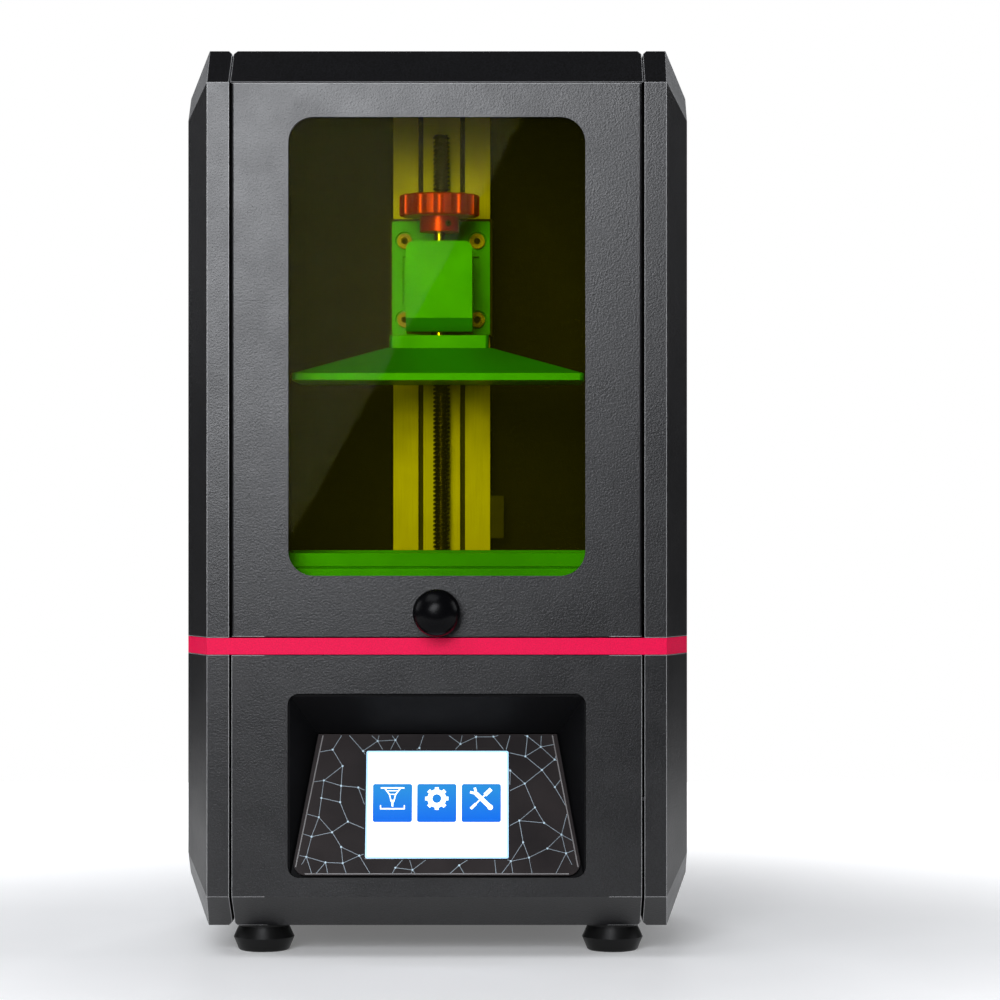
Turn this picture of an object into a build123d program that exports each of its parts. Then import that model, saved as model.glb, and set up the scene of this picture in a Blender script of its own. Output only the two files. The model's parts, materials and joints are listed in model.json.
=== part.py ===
from build123d import *
import math
import os

# Desktop resin printer: steel casing with a hinged door, a Z drive that carries the build plate, a resin vat
# over the masking display, the lamp unit below it, and the electronics.
# Frame: X to the right, the front faces -Y, Z up, origin under the middle of the whole object. Millimetres.

os.makedirs("parts", exist_ok=True)

# Casing
CASE_WIDTH = 220
CASE_DEPTH = 200
CASE_TOP = 398
FOOT_HEIGHT = 12.5
SHEET = 1.5
FACE_HALF = 100
BEVEL_DEPTH = 22
TOP_BEVEL_START = 381.7
BOTTOM_BEVEL_START = 27.4
TOP_EDGE_HALF = 100.5
TOP_EDGE_DROP = 19.5
BOTTOM_EDGE_HALF = 101
BOTTOM_EDGE_RISE = 22
UPPER_FACET_LOW = 367
LOWER_FACET_HIGH = 44.7
PANEL_HALF = 89.2
FLANGE_EDGE = 90.4
INNER_PANEL_HALF = 89.8
BAND_LOW = 132.8
BAND_HIGH = 140
LINING_GAP = 0.3
SMALL_KEY = 1.15
SEAM = 0.6
SEAM_HALF = 1.9
FIT = 0.05

# Door
KNOB_REACH = 17
KNOB_HEIGHT = 151.3
KNOB_RADIUS = 10.3
DOOR_LOW = 140.6
DOOR_HIGH = 381.3
DOOR_DEPTH = 8
DOOR_EDGE_RADIUS = 1
WINDOW_HALF = 64.6
WINDOW_LOW = 167
WINDOW_HIGH = 366.6
WINDOW_RADIUS = 11
PANE_THICKNESS = 3
HINGE_IN = 6.6
HINGE_DEPTH = 4.4
PIN_RADIUS = 1.5
EYE_RADIUS = 2.8
TONGUE = 3
UPPER_TONGUE = 370
LOWER_TONGUE = 152.5

# Chamber
DECK_TOP = 150
DECK = 2.5
FRAME_DEPTH = 13
FRAME_OPENING_HALF = 79
FRAME_OPENING_TOP = 372
REAR_WALL_DEPTH = 142

# Console
RECESS_HALF = 64.9
RECESS_LOW = 35.7
RECESS_HIGH = 115.8
RECESS_RADIUS = 5
CONSOLE_LOW = 36
CONSOLE_HIGH = 97.2
CONSOLE_BACK = 22
CONSOLE_LOW_HALF = 63.4
CONSOLE_TOP_HALF = 52.5
CONSOLE_SHEET = 2

# Platform, at rest part of the way up its travel
PLATE_WIDTH = 130
PLATE_LENGTH = 68
PLATE_LOW = 253.4
PLATE_HIGH = 256.5
ROOF_TOP = 268.6
ROOF_WIDTH = 47
ROOF_LENGTH = 26
CLAMP_TOP = 274.4
PLATFORM_DEPTH = 69
BALL_RADIUS = 7
BALL_HEIGHT = 265
HOLDER_LOW = 276.2
HOLDER_HIGH = 317
HOLDER_HALF = 15
SHELF_LOW = 300
SHELF_HIGH = 306
STUD_RADIUS = 2.5
GRIP_RADIUS = 18.2
GRIP_LOW = 328.8
GRIP_HIGH = 338.6
HUB_LOW = 321.8

# Z drive
SCREW_RADIUS = 4
SCREW_DEPTH = 122
SCREW_TOP = 371.6
RAIL_HALF = 22.8
RAIL_FRONT = 127.5
RAIL_BACK = 140
RAIL_TOP = 385
GROOVE_AT = 9.85
GROOVE_WIDTH = 2.4
CARRIAGE_HALF = 22.8
CARRIAGE_LOW = 277
CARRIAGE_HIGH = 329.8
SLIDER_HALF = 23.8
SLIDER_HIGH = 331.4

# Vat
VAT_HALF = 76
VAT_FRONT = 24
VAT_BACK = 114
VAT_TOP = 176.6
VAT_WALL = 7
VAT_SCREW_AT = 84
VAT_SCREW_DEPTH = 70

FRONT_Y = -(CASE_DEPTH - KNOB_REACH) / 2
BACK_Y = FRONT_Y + CASE_DEPTH
HINGE_X = -PANEL_HALF + HINGE_IN
HINGE_Y = FRONT_Y + HINGE_DEPTH
PLATFORM_Y = FRONT_Y + PLATFORM_DEPTH
SCREW_Y = FRONT_Y + SCREW_DEPTH


def block(x, depth, z, mode=Mode.ADD):
    """Rectangular block between pairs of limits; depth is counted from the front face."""
    middle = (sum(x) / 2, FRONT_Y + sum(depth) / 2, sum(z) / 2)
    with Locations(middle):
        Box(x[1] - x[0], depth[1] - depth[0], z[1] - z[0], mode=mode)


def rod(start, direction, radius, length, mode=Mode.ADD):
    """Round rod or bore from a point given as x, depth, z, along a direction."""
    base = Plane(origin=(start[0], FRONT_Y + start[1], start[2]), z_dir=direction)
    with BuildSketch(base) as disc:
        Circle(radius)
    extrude(disc.sketch, amount=length, mode=mode)


def casing_block(inset):
    """Faceted outer form of the casing as a solid, with every face moved inwards by inset."""
    low = FOOT_HEIGHT
    half = CASE_WIDTH / 2
    front = Vector(0, FRONT_Y, 0)
    cuts = [
        (front + Vector(0, 0, TOP_BEVEL_START), Vector(0, TOP_BEVEL_START - CASE_TOP, BEVEL_DEPTH)),
        (front + Vector(0, 0, BOTTOM_BEVEL_START), Vector(0, low - BOTTOM_BEVEL_START, -BEVEL_DEPTH)),
    ]
    for side in (-1, 1):
        cuts.append((front + Vector(side * FACE_HALF, 0, 0),
                     Vector(side * BEVEL_DEPTH, FACE_HALF - half, 0)))
        cuts.append((Vector(side * TOP_EDGE_HALF, 0, CASE_TOP),
                     Vector(side * TOP_EDGE_DROP, 0, half - TOP_EDGE_HALF)))
        cuts.append((Vector(side * BOTTOM_EDGE_HALF, 0, low),
                     Vector(side * BOTTOM_EDGE_RISE, 0, BOTTOM_EDGE_HALF - half)))
        for face_z, side_z, edge_z, edge_half in (
            (TOP_BEVEL_START, UPPER_FACET_LOW, CASE_TOP, TOP_EDGE_HALF),
            (BOTTOM_BEVEL_START, LOWER_FACET_HIGH, low, BOTTOM_EDGE_HALF),
        ):
            corner = front + Vector(side * FACE_HALF, 0, face_z)
            on_side = front + Vector(side * half, BEVEL_DEPTH, side_z)
            on_edge = front + Vector(side * edge_half, BEVEL_DEPTH, edge_z)
            normal = (on_side - corner).cross(on_edge - corner)
            if normal.X * side < 0:
                normal = normal * -1
            cuts.append((corner, normal))
    with BuildPart() as form:
        block((-half + inset, half - inset), (inset, CASE_DEPTH - inset), (low + inset, CASE_TOP - inset))
        for point, normal in cuts:
            outward = normal.normalized()
            split(bisect_by=Plane(origin=point - outward * inset, z_dir=outward), keep=Keep.BOTTOM)
    return form.part


def front_outline(half_width, low, high, radius):
    """Rounded rectangle standing in the plane of the front face, drawn from the left and the bottom."""
    middle = Plane(origin=(0, FRONT_Y, (low + high) / 2), x_dir=(1, 0, 0), z_dir=(0, -1, 0))
    with BuildSketch(middle) as outline:
        RectangleRounded(2 * half_width, high - low, radius)
    return outline.sketch


def seam_groove(side, level, inward):
    """Shallow V along the seam beside a side shell, cut inwards from the top or bottom face."""
    seam_x = side * (INNER_PANEL_HALF + FLANGE_EDGE) / 2
    with BuildSketch(Plane(origin=(seam_x, FRONT_Y - 1, level), x_dir=(1, 0, 0), z_dir=(0, -1, 0))) as cut:
        Polygon((-SEAM_HALF, 0), (SEAM_HALF, 0), (0, inward * SEAM_HALF), align=None)
    extrude(cut.sketch, amount=-CASE_DEPTH - 2, mode=Mode.SUBTRACT)


OUTER = casing_block(0)
INNER = casing_block(SHEET)
LINING = casing_block(SHEET + LINING_GAP)
BEYOND = CASE_WIDTH

# ---------------------------------------------------------------- casing

USB_DEPTH = 52
USB_HEIGHT = 70
USB_SLOT = (14.4, 6.9)
SIDE_GAP = 0.2
PANEL_SCREW_AT = 97
PANEL_SCREW_LEVELS = (30, 140, 260, 380)
PANEL_SCREW_RADIUS = 1.5
PANEL_SCREW_HEAD = 2.95

for side, name in ((-1, "left_side_shell"), (1, "right_side_shell")):
    with BuildPart() as side_shell:
        add(OUTER)
        add(INNER, mode=Mode.SUBTRACT)
        reach = sorted((side * FLANGE_EDGE, side * BEYOND))
        block(reach, (-1, CASE_DEPTH + 1), (0, CASE_TOP + 1), mode=Mode.INTERSECT)
        block(reach, (-1, BEVEL_DEPTH + SIDE_GAP), (BAND_LOW - SIDE_GAP, BAND_HIGH + SIDE_GAP),
              mode=Mode.SUBTRACT)
        for level in PANEL_SCREW_LEVELS:
            screw_x = side * PANEL_SCREW_AT
            rod((screw_x, CASE_DEPTH + 1, level), (0, -1, 0), PANEL_SCREW_RADIUS + 0.1, 4, mode=Mode.SUBTRACT)
            with Locations(Plane(origin=(screw_x, BACK_Y, level), z_dir=(0, -1, 0))):
                Cone(PANEL_SCREW_HEAD + 0.15, PANEL_SCREW_RADIUS + 0.1, SHEET,
                     align=(Align.CENTER, Align.CENTER, Align.MIN), mode=Mode.SUBTRACT)
        if side > 0:
            block((CASE_WIDTH / 2 - 3, BEYOND),
                  (USB_DEPTH - USB_SLOT[0] / 2, USB_DEPTH + USB_SLOT[0] / 2),
                  (USB_HEIGHT - USB_SLOT[1] / 2, USB_HEIGHT + USB_SLOT[1] / 2), mode=Mode.SUBTRACT)
        seam_groove(side, CASE_TOP, -1)
        seam_groove(side, FOOT_HEIGHT, 1)
    side_shell.part.label = name
    export_step(side_shell.part, f"parts/{name}.step")

with BuildPart() as top_cover:
    add(OUTER)
    add(INNER, mode=Mode.SUBTRACT)
    block((-INNER_PANEL_HALF, INNER_PANEL_HALF), (-1, CASE_DEPTH + 1), (TOP_BEVEL_START, CASE_TOP + 1),
          mode=Mode.INTERSECT)
    for side in (-1, 1):
        seam_groove(side, CASE_TOP, -1)
top_cover.part.label = "top_cover"
export_step(top_cover.part, "parts/top_cover.step")

FOOT_SPOTS = [(x, depth) for x in (-77.5, 77.5) for depth in (36, 164)]

with BuildPart() as bottom_tray:
    add(OUTER)
    add(INNER, mode=Mode.SUBTRACT)
    block((-INNER_PANEL_HALF, INNER_PANEL_HALF), (BEVEL_DEPTH + SEAM, CASE_DEPTH + 1),
          (0, BOTTOM_BEVEL_START), mode=Mode.INTERSECT)
    for x, depth in FOOT_SPOTS:
        rod((x, depth, FOOT_HEIGHT - 1), (0, 0, 1), 2.1, 4, mode=Mode.SUBTRACT)
    for row in range(7):
        middle = 45 + 8 * row
        block((-24, 24), (middle - 1.5, middle + 1.5), (FOOT_HEIGHT - 1, FOOT_HEIGHT + 3),
              mode=Mode.SUBTRACT)
    for side in (-1, 1):
        seam_groove(side, FOOT_HEIGHT, 1)
bottom_tray.part.label = "bottom_tray"
export_step(bottom_tray.part, "parts/bottom_tray.step")

with BuildPart() as front_panel:
    add(OUTER)
    add(INNER, mode=Mode.SUBTRACT)
    block((-PANEL_HALF, PANEL_HALF), (-1, BEVEL_DEPTH), (0, BAND_LOW - SEAM / 2), mode=Mode.INTERSECT)
    extrude(front_outline(RECESS_HALF, RECESS_LOW, RECESS_HIGH, RECESS_RADIUS), amount=-3,
            mode=Mode.SUBTRACT)
    for side in (-1, 1):
        seam_groove(side, FOOT_HEIGHT, 1)
front_panel.part.label = "front_panel"
export_step(front_panel.part, "parts/front_panel.step")

with BuildPart() as trim_band:
    add(OUTER)
    add(INNER, mode=Mode.SUBTRACT)
    block((-BEYOND, BEYOND), (-1, BEVEL_DEPTH), (BAND_LOW, BAND_HIGH), mode=Mode.INTERSECT)
trim_band.part.label = "trim_band"
export_step(trim_band.part, "parts/trim_band.step")

FAN_SIZE = 60
FAN_THICKNESS = 15
FAN_BORE = 28
EXHAUST_HEIGHT = 330
GRILLE_RADIUS = 26.5
GRILLE_PITCH = 6
GRILLE_SLOT = 3.5
INLET_AT = (52, 48)
INLET_RADIUS = 5.5
SWITCH_AT = (-52, 48)
SWITCH_SIZE = (19.4, 13)

with BuildPart() as rear_panel:
    add(LINING)
    block((-105, 105), (CASE_DEPTH - 2 * SHEET - LINING_GAP, CASE_DEPTH), (17, 394), mode=Mode.INTERSECT)
    for side in (-1, 1):
        for level in PANEL_SCREW_LEVELS:
            rod((side * PANEL_SCREW_AT, CASE_DEPTH, level), (0, -1, 0), PANEL_SCREW_RADIUS + FIT, 6,
                mode=Mode.SUBTRACT)
    for row in range(-4, 5):
        height = EXHAUST_HEIGHT + GRILLE_PITCH * row
        half = math.sqrt(GRILLE_RADIUS ** 2 - (GRILLE_PITCH * row) ** 2)
        block((-half, half), (CASE_DEPTH - 6, CASE_DEPTH),
              (height - GRILLE_SLOT / 2, height + GRILLE_SLOT / 2), mode=Mode.SUBTRACT)
    rod((INLET_AT[0], CASE_DEPTH, INLET_AT[1]), (0, -1, 0), INLET_RADIUS + FIT, 6, mode=Mode.SUBTRACT)
    block((SWITCH_AT[0] - SWITCH_SIZE[0] / 2, SWITCH_AT[0] + SWITCH_SIZE[0] / 2),
          (CASE_DEPTH - 6, CASE_DEPTH),
          (SWITCH_AT[1] - SWITCH_SIZE[1] / 2, SWITCH_AT[1] + SWITCH_SIZE[1] / 2), mode=Mode.SUBTRACT)
rear_panel.part.label = "rear_panel"
export_step(rear_panel.part, "parts/rear_panel.step")

with BuildPart() as rear_panel_screws:
    for side in (-1, 1):
        for level in PANEL_SCREW_LEVELS:
            screw_x = side * PANEL_SCREW_AT
            rod((screw_x, CASE_DEPTH - 1, level), (0, -1, 0), PANEL_SCREW_RADIUS, 6)
            with Locations(Plane(origin=(screw_x, BACK_Y - 0.1, level), z_dir=(0, -1, 0))):
                Cone(PANEL_SCREW_HEAD, PANEL_SCREW_RADIUS, SHEET - FIT,
                     align=(Align.CENTER, Align.CENTER, Align.MIN))
            with BuildSketch(Plane(origin=(screw_x, BACK_Y, level), z_dir=(0, -1, 0))):
                RegularPolygon(SMALL_KEY, 6)
            extrude(amount=1.2, mode=Mode.SUBTRACT)
rear_panel_screws.part.label = "rear_panel_screws"
export_step(rear_panel_screws.part, "parts/rear_panel_screws.step")

with BuildPart() as feet:
    for x, depth in FOOT_SPOTS:
        foot_plane = Plane(origin=(x, FRONT_Y + depth, 0), x_dir=(1, 0, 0), z_dir=(0, -1, 0))
        with BuildSketch(foot_plane) as half_foot:
            with BuildLine():
                Polyline((2.1, FOOT_HEIGHT), (2.1, 4), (4.6, 4), (4.6, 0), (10, 0))
                ThreePointArc((10, 0), (11, 0.4), (11.5, 1.2))
                Polyline((11.5, 1.2), (13.5, 6), (11.2, 11), (11.2, FOOT_HEIGHT), (2.1, FOOT_HEIGHT))
            make_face()
        revolve(half_foot.sketch, axis=Axis((x, FRONT_Y + depth, 0), (0, 0, 1)))
feet.part.label = "feet"
export_step(feet.part, "parts/feet.step")

with BuildPart() as foot_screws:
    for x, depth in FOOT_SPOTS:
        rod((x, depth, 4), (0, 0, 1), 2, 15)
        rod((x, depth, 1.6), (0, 0, 1), 3.8, 2.4)
        with BuildSketch(Plane(origin=(x, FRONT_Y + depth, 1.6))):
            RegularPolygon(1.5, 6)
        extrude(amount=1.6, mode=Mode.SUBTRACT)
foot_screws.part.label = "foot_screws"
export_step(foot_screws.part, "parts/foot_screws.step")

# ---------------------------------------------------------------- door

NOTCH_GAP = 1.5
NOTCH_START = 1.6
NOTCHES = [(low - NOTCH_GAP, low + TONGUE + NOTCH_GAP) for low in (UPPER_TONGUE, LOWER_TONGUE)]
WINDOW_SCREWS = [(side * 73, level) for side in (-1, 1) for level in (165, 233, 300, 368)]

with BuildPart() as door_shell:
    block((-PANEL_HALF, PANEL_HALF), (0, DOOR_DEPTH), (DOOR_LOW, DOOR_HIGH))
    upright = door_shell.edges().filter_by(Axis.Z).group_by(Axis.Y)[0]
    fillet(upright, DOOR_EDGE_RADIUS)
    block((-PANEL_HALF + SHEET, PANEL_HALF - SHEET), (SHEET, DOOR_DEPTH + 1),
          (DOOR_LOW + SHEET, DOOR_HIGH - SHEET), mode=Mode.SUBTRACT)
    for low, high in NOTCHES:
        block((-PANEL_HALF - 1, -PANEL_HALF + SHEET + 1), (NOTCH_START, DOOR_DEPTH + 1), (low, high),
              mode=Mode.SUBTRACT)
    extrude(front_outline(WINDOW_HALF, WINDOW_LOW, WINDOW_HIGH, WINDOW_RADIUS), amount=-2 * SHEET,
            mode=Mode.SUBTRACT)
    rod((0, -1, KNOB_HEIGHT), (0, 1, 0), 2.2, 4, mode=Mode.SUBTRACT)
door_shell.part.label = "door_shell"
export_step(door_shell.part, "parts/door_shell.step")

with BuildPart() as door_window:
    block((-69, 69), (SHEET, SHEET + PANE_THICKNESS), (162, 371.6))
door_window.part.label = "door_window"
export_step(door_window.part, "parts/door_window.step")

LIP = 1.8
RETAINER_FRONT = SHEET + PANE_THICKNESS
RETAINER_BACK = RETAINER_FRONT + 1.2

with BuildPart() as window_retainer:
    block((-77, 77), (RETAINER_FRONT, RETAINER_BACK), (157.5, 376))
    block((-WINDOW_HALF - LIP, WINDOW_HALF + LIP), (RETAINER_FRONT - 1, RETAINER_BACK + 1),
          (WINDOW_LOW - LIP, WINDOW_HIGH + LIP), mode=Mode.SUBTRACT)
    for x, level in WINDOW_SCREWS:
        rod((x, RETAINER_FRONT - 1, level), (0, 1, 0), 1.6, 4, mode=Mode.SUBTRACT)
window_retainer.part.label = "window_retainer"
export_step(window_retainer.part, "parts/window_retainer.step")

with BuildPart() as window_screws:
    for x, level in WINDOW_SCREWS:
        rod((x, SHEET, level), (0, 1, 0), 1.5, RETAINER_BACK - SHEET)
        rod((x, RETAINER_BACK, level), (0, 1, 0), 2.8, 1.6)
        with BuildSketch(Plane(origin=(x, FRONT_Y + RETAINER_BACK + 1.6, level), z_dir=(0, -1, 0))):
            RegularPolygon(SMALL_KEY, 6)
        extrude(amount=1, mode=Mode.SUBTRACT)
window_screws.part.label = "window_screws"
export_step(window_screws.part, "parts/window_screws.step")

KNOB_PLANE = Plane(origin=(0, FRONT_Y, KNOB_HEIGHT), x_dir=(1, 0, 0), z_dir=(0, 0, 1))

with BuildPart() as door_knob:
    with BuildSketch(KNOB_PLANE) as half_knob:
        with BuildLine():
            Polyline((0, 0), (7.5, 0), (7.5, -3))
            Spline((7.5, -3), (9.4, -6.2), (KNOB_RADIUS, -9.4), tangents=((0, -1), (0, -1)))
            Spline((KNOB_RADIUS, -9.4), (7.6, -14.6), (0, -KNOB_REACH), tangents=((0, -1), (-1, 0)))
            Line((0, -KNOB_REACH), (0, 0))
        make_face()
    revolve(half_knob.sketch, axis=Axis((0, FRONT_Y, KNOB_HEIGHT), (0, 1, 0)))
    rod((0, 0, KNOB_HEIGHT), (0, -1, 0), 2 + FIT, 9, mode=Mode.SUBTRACT)
door_knob.part.label = "door_knob"
export_step(door_knob.part, "parts/door_knob.step")

with BuildPart() as knob_screw:
    rod((0, SHEET, KNOB_HEIGHT), (0, -1, 0), 2, SHEET + 8.5)
    rod((0, SHEET, KNOB_HEIGHT), (0, 1, 0), 3.8, 2.4)
knob_screw.part.label = "knob_screw"
export_step(knob_screw.part, "parts/knob_screw.step")

BLOCK_LEFT = HINGE_X - 4.9
BLOCK_RIGHT = HINGE_X + 4
PIN_LENGTH = 16
HINGE_LENGTH = 18

with BuildPart() as door_hinge_blocks:
    for low in (UPPER_TONGUE - HINGE_LENGTH - SEAM, LOWER_TONGUE + TONGUE + SEAM):
        block((BLOCK_LEFT, BLOCK_RIGHT), (SHEET, DOOR_DEPTH), (low, low + HINGE_LENGTH))
        rod((HINGE_X, HINGE_DEPTH, low - 1), (0, 0, 1), PIN_RADIUS + FIT, 20, mode=Mode.SUBTRACT)
door_hinge_blocks.part.label = "door_hinge_blocks"
export_step(door_hinge_blocks.part, "parts/door_hinge_blocks.step")

with BuildPart() as hinge_brackets:
    for low, pin_low in ((UPPER_TONGUE, UPPER_TONGUE - PIN_LENGTH), (LOWER_TONGUE, LOWER_TONGUE)):
        block((HINGE_X - 1.5, HINGE_X + 3.4), (HINGE_DEPTH, FRAME_DEPTH), (low, low + TONGUE))
        rod((HINGE_X, HINGE_DEPTH, low), (0, 0, 1), EYE_RADIUS, TONGUE)
        rod((HINGE_X, HINGE_DEPTH, pin_low), (0, 0, 1), PIN_RADIUS, PIN_LENGTH + TONGUE)
hinge_brackets.part.label = "hinge_brackets"
export_step(hinge_brackets.part, "parts/hinge_brackets.step")

# ---------------------------------------------------------------- chamber

LCD_HALF = 61
LCD_FRONT = 34
LCD_BACK = 104

with BuildPart() as top_deck:
    add(LINING)
    block((-BEYOND, BEYOND), (FRAME_DEPTH, CASE_DEPTH - 5), (DECK_TOP - DECK, DECK_TOP), mode=Mode.INTERSECT)
    block((-LCD_HALF - 0.4, LCD_HALF + 0.4), (LCD_FRONT - 0.4, LCD_BACK + 0.4), (DECK_TOP - 5, DECK_TOP + 1),
          mode=Mode.SUBTRACT)
    rod((0, SCREW_DEPTH, DECK_TOP - 5), (0, 0, 1), SCREW_RADIUS + 1, 8, mode=Mode.SUBTRACT)
    for side in (-1, 1):
        rod((side * VAT_SCREW_AT, VAT_SCREW_DEPTH, DECK_TOP - 5), (0, 0, 1), 2.1, 8, mode=Mode.SUBTRACT)
top_deck.part.label = "top_deck"
export_step(top_deck.part, "parts/top_deck.step")

with BuildPart() as chamber_front_frame:
    add(LINING)
    block((-BEYOND, BEYOND), (FRAME_DEPTH, FRAME_DEPTH + SHEET), (DECK_TOP, CASE_TOP), mode=Mode.INTERSECT)
    block((-FRAME_OPENING_HALF, FRAME_OPENING_HALF), (0, FRAME_DEPTH + 5), (DECK_TOP - 1, FRAME_OPENING_TOP),
          mode=Mode.SUBTRACT)
chamber_front_frame.part.label = "chamber_front_frame"
export_step(chamber_front_frame.part, "parts/chamber_front_frame.step")

with BuildPart() as chamber_rear_wall:
    add(LINING)
    block((-BEYOND, BEYOND), (REAR_WALL_DEPTH, REAR_WALL_DEPTH + SHEET), (DECK_TOP, CASE_TOP),
          mode=Mode.INTERSECT)
chamber_rear_wall.part.label = "chamber_rear_wall"
export_step(chamber_rear_wall.part, "parts/chamber_rear_wall.step")

with BuildPart() as magnet_catch:
    block((80.5, 87), (DOOR_DEPTH + 0.3, FRAME_DEPTH), (252, 282))
    chamfer(magnet_catch.edges().filter_by(Axis.Z).group_by(Axis.Y)[0], 0.8)
magnet_catch.part.label = "magnet_catch"
export_step(magnet_catch.part, "parts/magnet_catch.step")

# ---------------------------------------------------------------- console

RISE = CONSOLE_HIGH - CONSOLE_LOW
SLOPE_LENGTH = math.hypot(CONSOLE_BACK, RISE)
SLOPE_BACK = RISE / SLOPE_LENGTH
SLOPE_DOWN = CONSOLE_BACK / SLOPE_LENGTH
DISPLAY_WIDTH = 62.8
DISPLAY_LENGTH = 49
DISPLAY_START = 8.1
SIDE_DRAFT = (RECESS_HALF - CONSOLE_TOP_HALF - 1.3) / CONSOLE_BACK


def console_point(up, back):
    """Depth and height of a point up the slope of the console plate and back from its face."""
    along = up / SLOPE_LENGTH
    return (CONSOLE_BACK * along + SLOPE_BACK * back, CONSOLE_LOW + RISE * along - SLOPE_DOWN * back)


def console_plane(up, back):
    """Plane on the console plate's slope: x to the right, y up the slope, z out of the front."""
    depth, height = console_point(up, back)
    return Plane(origin=(0, FRONT_Y + depth, height), x_dir=(1, 0, 0), z_dir=(0, -SLOPE_BACK, SLOPE_DOWN))


SIDE_VIEW = Plane(origin=(0, FRONT_Y, 0), x_dir=(0, 1, 0), z_dir=(1, 0, 0))

with BuildPart() as recess_space:
    with BuildSketch(SIDE_VIEW):
        with BuildLine():
            Polyline((-2, CONSOLE_LOW), console_point(0, 0), console_point(0, CONSOLE_SHEET + FIT),
                     console_point(SLOPE_LENGTH, CONSOLE_SHEET + FIT), console_point(SLOPE_LENGTH, 0),
                     (0, RECESS_HIGH), (-2, RECESS_HIGH), (-2, CONSOLE_LOW))
        make_face()
    extrude(amount=RECESS_HALF, both=True)
    extrude(front_outline(RECESS_HALF, RECESS_LOW, RECESS_HIGH, RECESS_RADIUS), amount=-40,
            mode=Mode.INTERSECT)
    for side in (-1, 1):
        wall = Plane(origin=(side * RECESS_HALF, FRONT_Y, 0), z_dir=(side, SIDE_DRAFT, 0))
        split(bisect_by=wall, keep=Keep.BOTTOM)

with BuildPart() as console_bezel:
    with BuildSketch(SIDE_VIEW):
        with BuildLine():
            Polyline((SHEET + 0.1, 33.4), (4.2, 33.4), console_point(SLOPE_LENGTH, 4.4), (26.6, 101),
                     (5.5, 119.8), (SHEET + 0.1, 119.8), (SHEET + 0.1, 33.4))
        make_face()
    extrude(amount=RECESS_HALF + 2.6, both=True)
    add(recess_space.part, mode=Mode.SUBTRACT)
    with BuildSketch(console_plane(DISPLAY_START + DISPLAY_LENGTH / 2, 8)):
        Rectangle(DISPLAY_WIDTH - 4, DISPLAY_LENGTH - 4)
    extrude(amount=7, mode=Mode.SUBTRACT)
console_bezel.part.label = "console_bezel"
export_step(console_bezel.part, "parts/console_bezel.step")

with BuildPart() as console_plate:
    with BuildSketch(console_plane(0, CONSOLE_SHEET)) as outline:
        with BuildLine():
            Polyline((-CONSOLE_LOW_HALF, 0.8), (CONSOLE_LOW_HALF, 0.8),
                     (CONSOLE_TOP_HALF, SLOPE_LENGTH - 0.5), (-CONSOLE_TOP_HALF, SLOPE_LENGTH - 0.5),
                     (-CONSOLE_LOW_HALF, 0.8))
        make_face()
        fillet(outline.vertices().group_by(Axis.Y)[0], RECESS_RADIUS + 0.5)
        with Locations((0, DISPLAY_START + DISPLAY_LENGTH / 2)):
            Rectangle(DISPLAY_WIDTH + 0.3, DISPLAY_LENGTH + 0.3, mode=Mode.SUBTRACT)
    extrude(amount=CONSOLE_SHEET)
console_plate.part.label = "console_plate"
export_step(console_plate.part, "parts/console_plate.step")

with BuildPart() as display_glass:
    with BuildSketch(console_plane(DISPLAY_START + DISPLAY_LENGTH / 2, CONSOLE_SHEET)):
        Rectangle(DISPLAY_WIDTH, DISPLAY_LENGTH)
    extrude(amount=CONSOLE_SHEET)
display_glass.part.label = "display_glass"
export_step(display_glass.part, "parts/display_glass.step")

# ---------------------------------------------------------------- lamp unit under the deck

DUCT_TOP = DECK_TOP - DECK - 3
DUCT_LOW = 95
LAMP_DEPTH = 69
LAMP_Y = FRONT_Y + LAMP_DEPTH

with BuildPart() as masking_lcd:
    block((-LCD_HALF, LCD_HALF), (LCD_FRONT, LCD_BACK), (DECK_TOP - DECK, DECK_TOP - 0.2))
masking_lcd.part.label = "masking_lcd"
export_step(masking_lcd.part, "parts/masking_lcd.step")


def duct(top_size, low_size):
    """Tapering rectangular column between the lamp board and the display."""
    with BuildPart() as column:
        with BuildSketch(Plane(origin=(0, LAMP_Y, DUCT_LOW))):
            Rectangle(*low_size)
        with BuildSketch(Plane(origin=(0, LAMP_Y, DUCT_TOP))):
            Rectangle(*top_size)
        loft()
    return column.part


DUCT_WALL = 1.5
duct_form = duct((118, 62), (60, 40))
duct_space = duct((118 - 2 * DUCT_WALL, 62 - 2 * DUCT_WALL), (60 - 2 * DUCT_WALL, 40 - 2 * DUCT_WALL))

with BuildPart() as light_box:
    add(duct_form)
    block((-64, 64), (LCD_FRONT - 2, 100), (DUCT_TOP, DECK_TOP - DECK))
    block((-36, 36), (41, 97), (DUCT_LOW, DUCT_LOW + 2))
    add(duct_space, mode=Mode.SUBTRACT)
    block((-57.5, 57.5), (39.5, 98.5), (DUCT_TOP - 1, DUCT_TOP + 5), mode=Mode.SUBTRACT)
light_box.part.label = "light_box"
export_step(light_box.part, "parts/light_box.step")

with BuildPart() as uv_led_board:
    block((-34, 34), (46, 92), (DUCT_LOW - 1.6, DUCT_LOW))
    with Locations((0, LAMP_Y, DUCT_LOW + 1)):
        with GridLocations(16, 14, 3, 2):
            Cylinder(5, 2)
            with Locations((0, 0, 1)):
                Sphere(3.4)
uv_led_board.part.label = "uv_led_board"
export_step(uv_led_board.part, "parts/uv_led_board.step")

FAN_TOP = 73
SINK_TOP = DUCT_LOW - 1.6

with BuildPart() as heat_sink:
    block((-33, 33), (47, 91), (SINK_TOP - 4, SINK_TOP))
    for fin in range(-5, 6):
        middle = 6.2 * fin
        block((middle - 0.9, middle + 0.9), (47, 91), (FAN_TOP, SINK_TOP - 4))
heat_sink.part.label = "heat_sink"
export_step(heat_sink.part, "parts/heat_sink.step")


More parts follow.
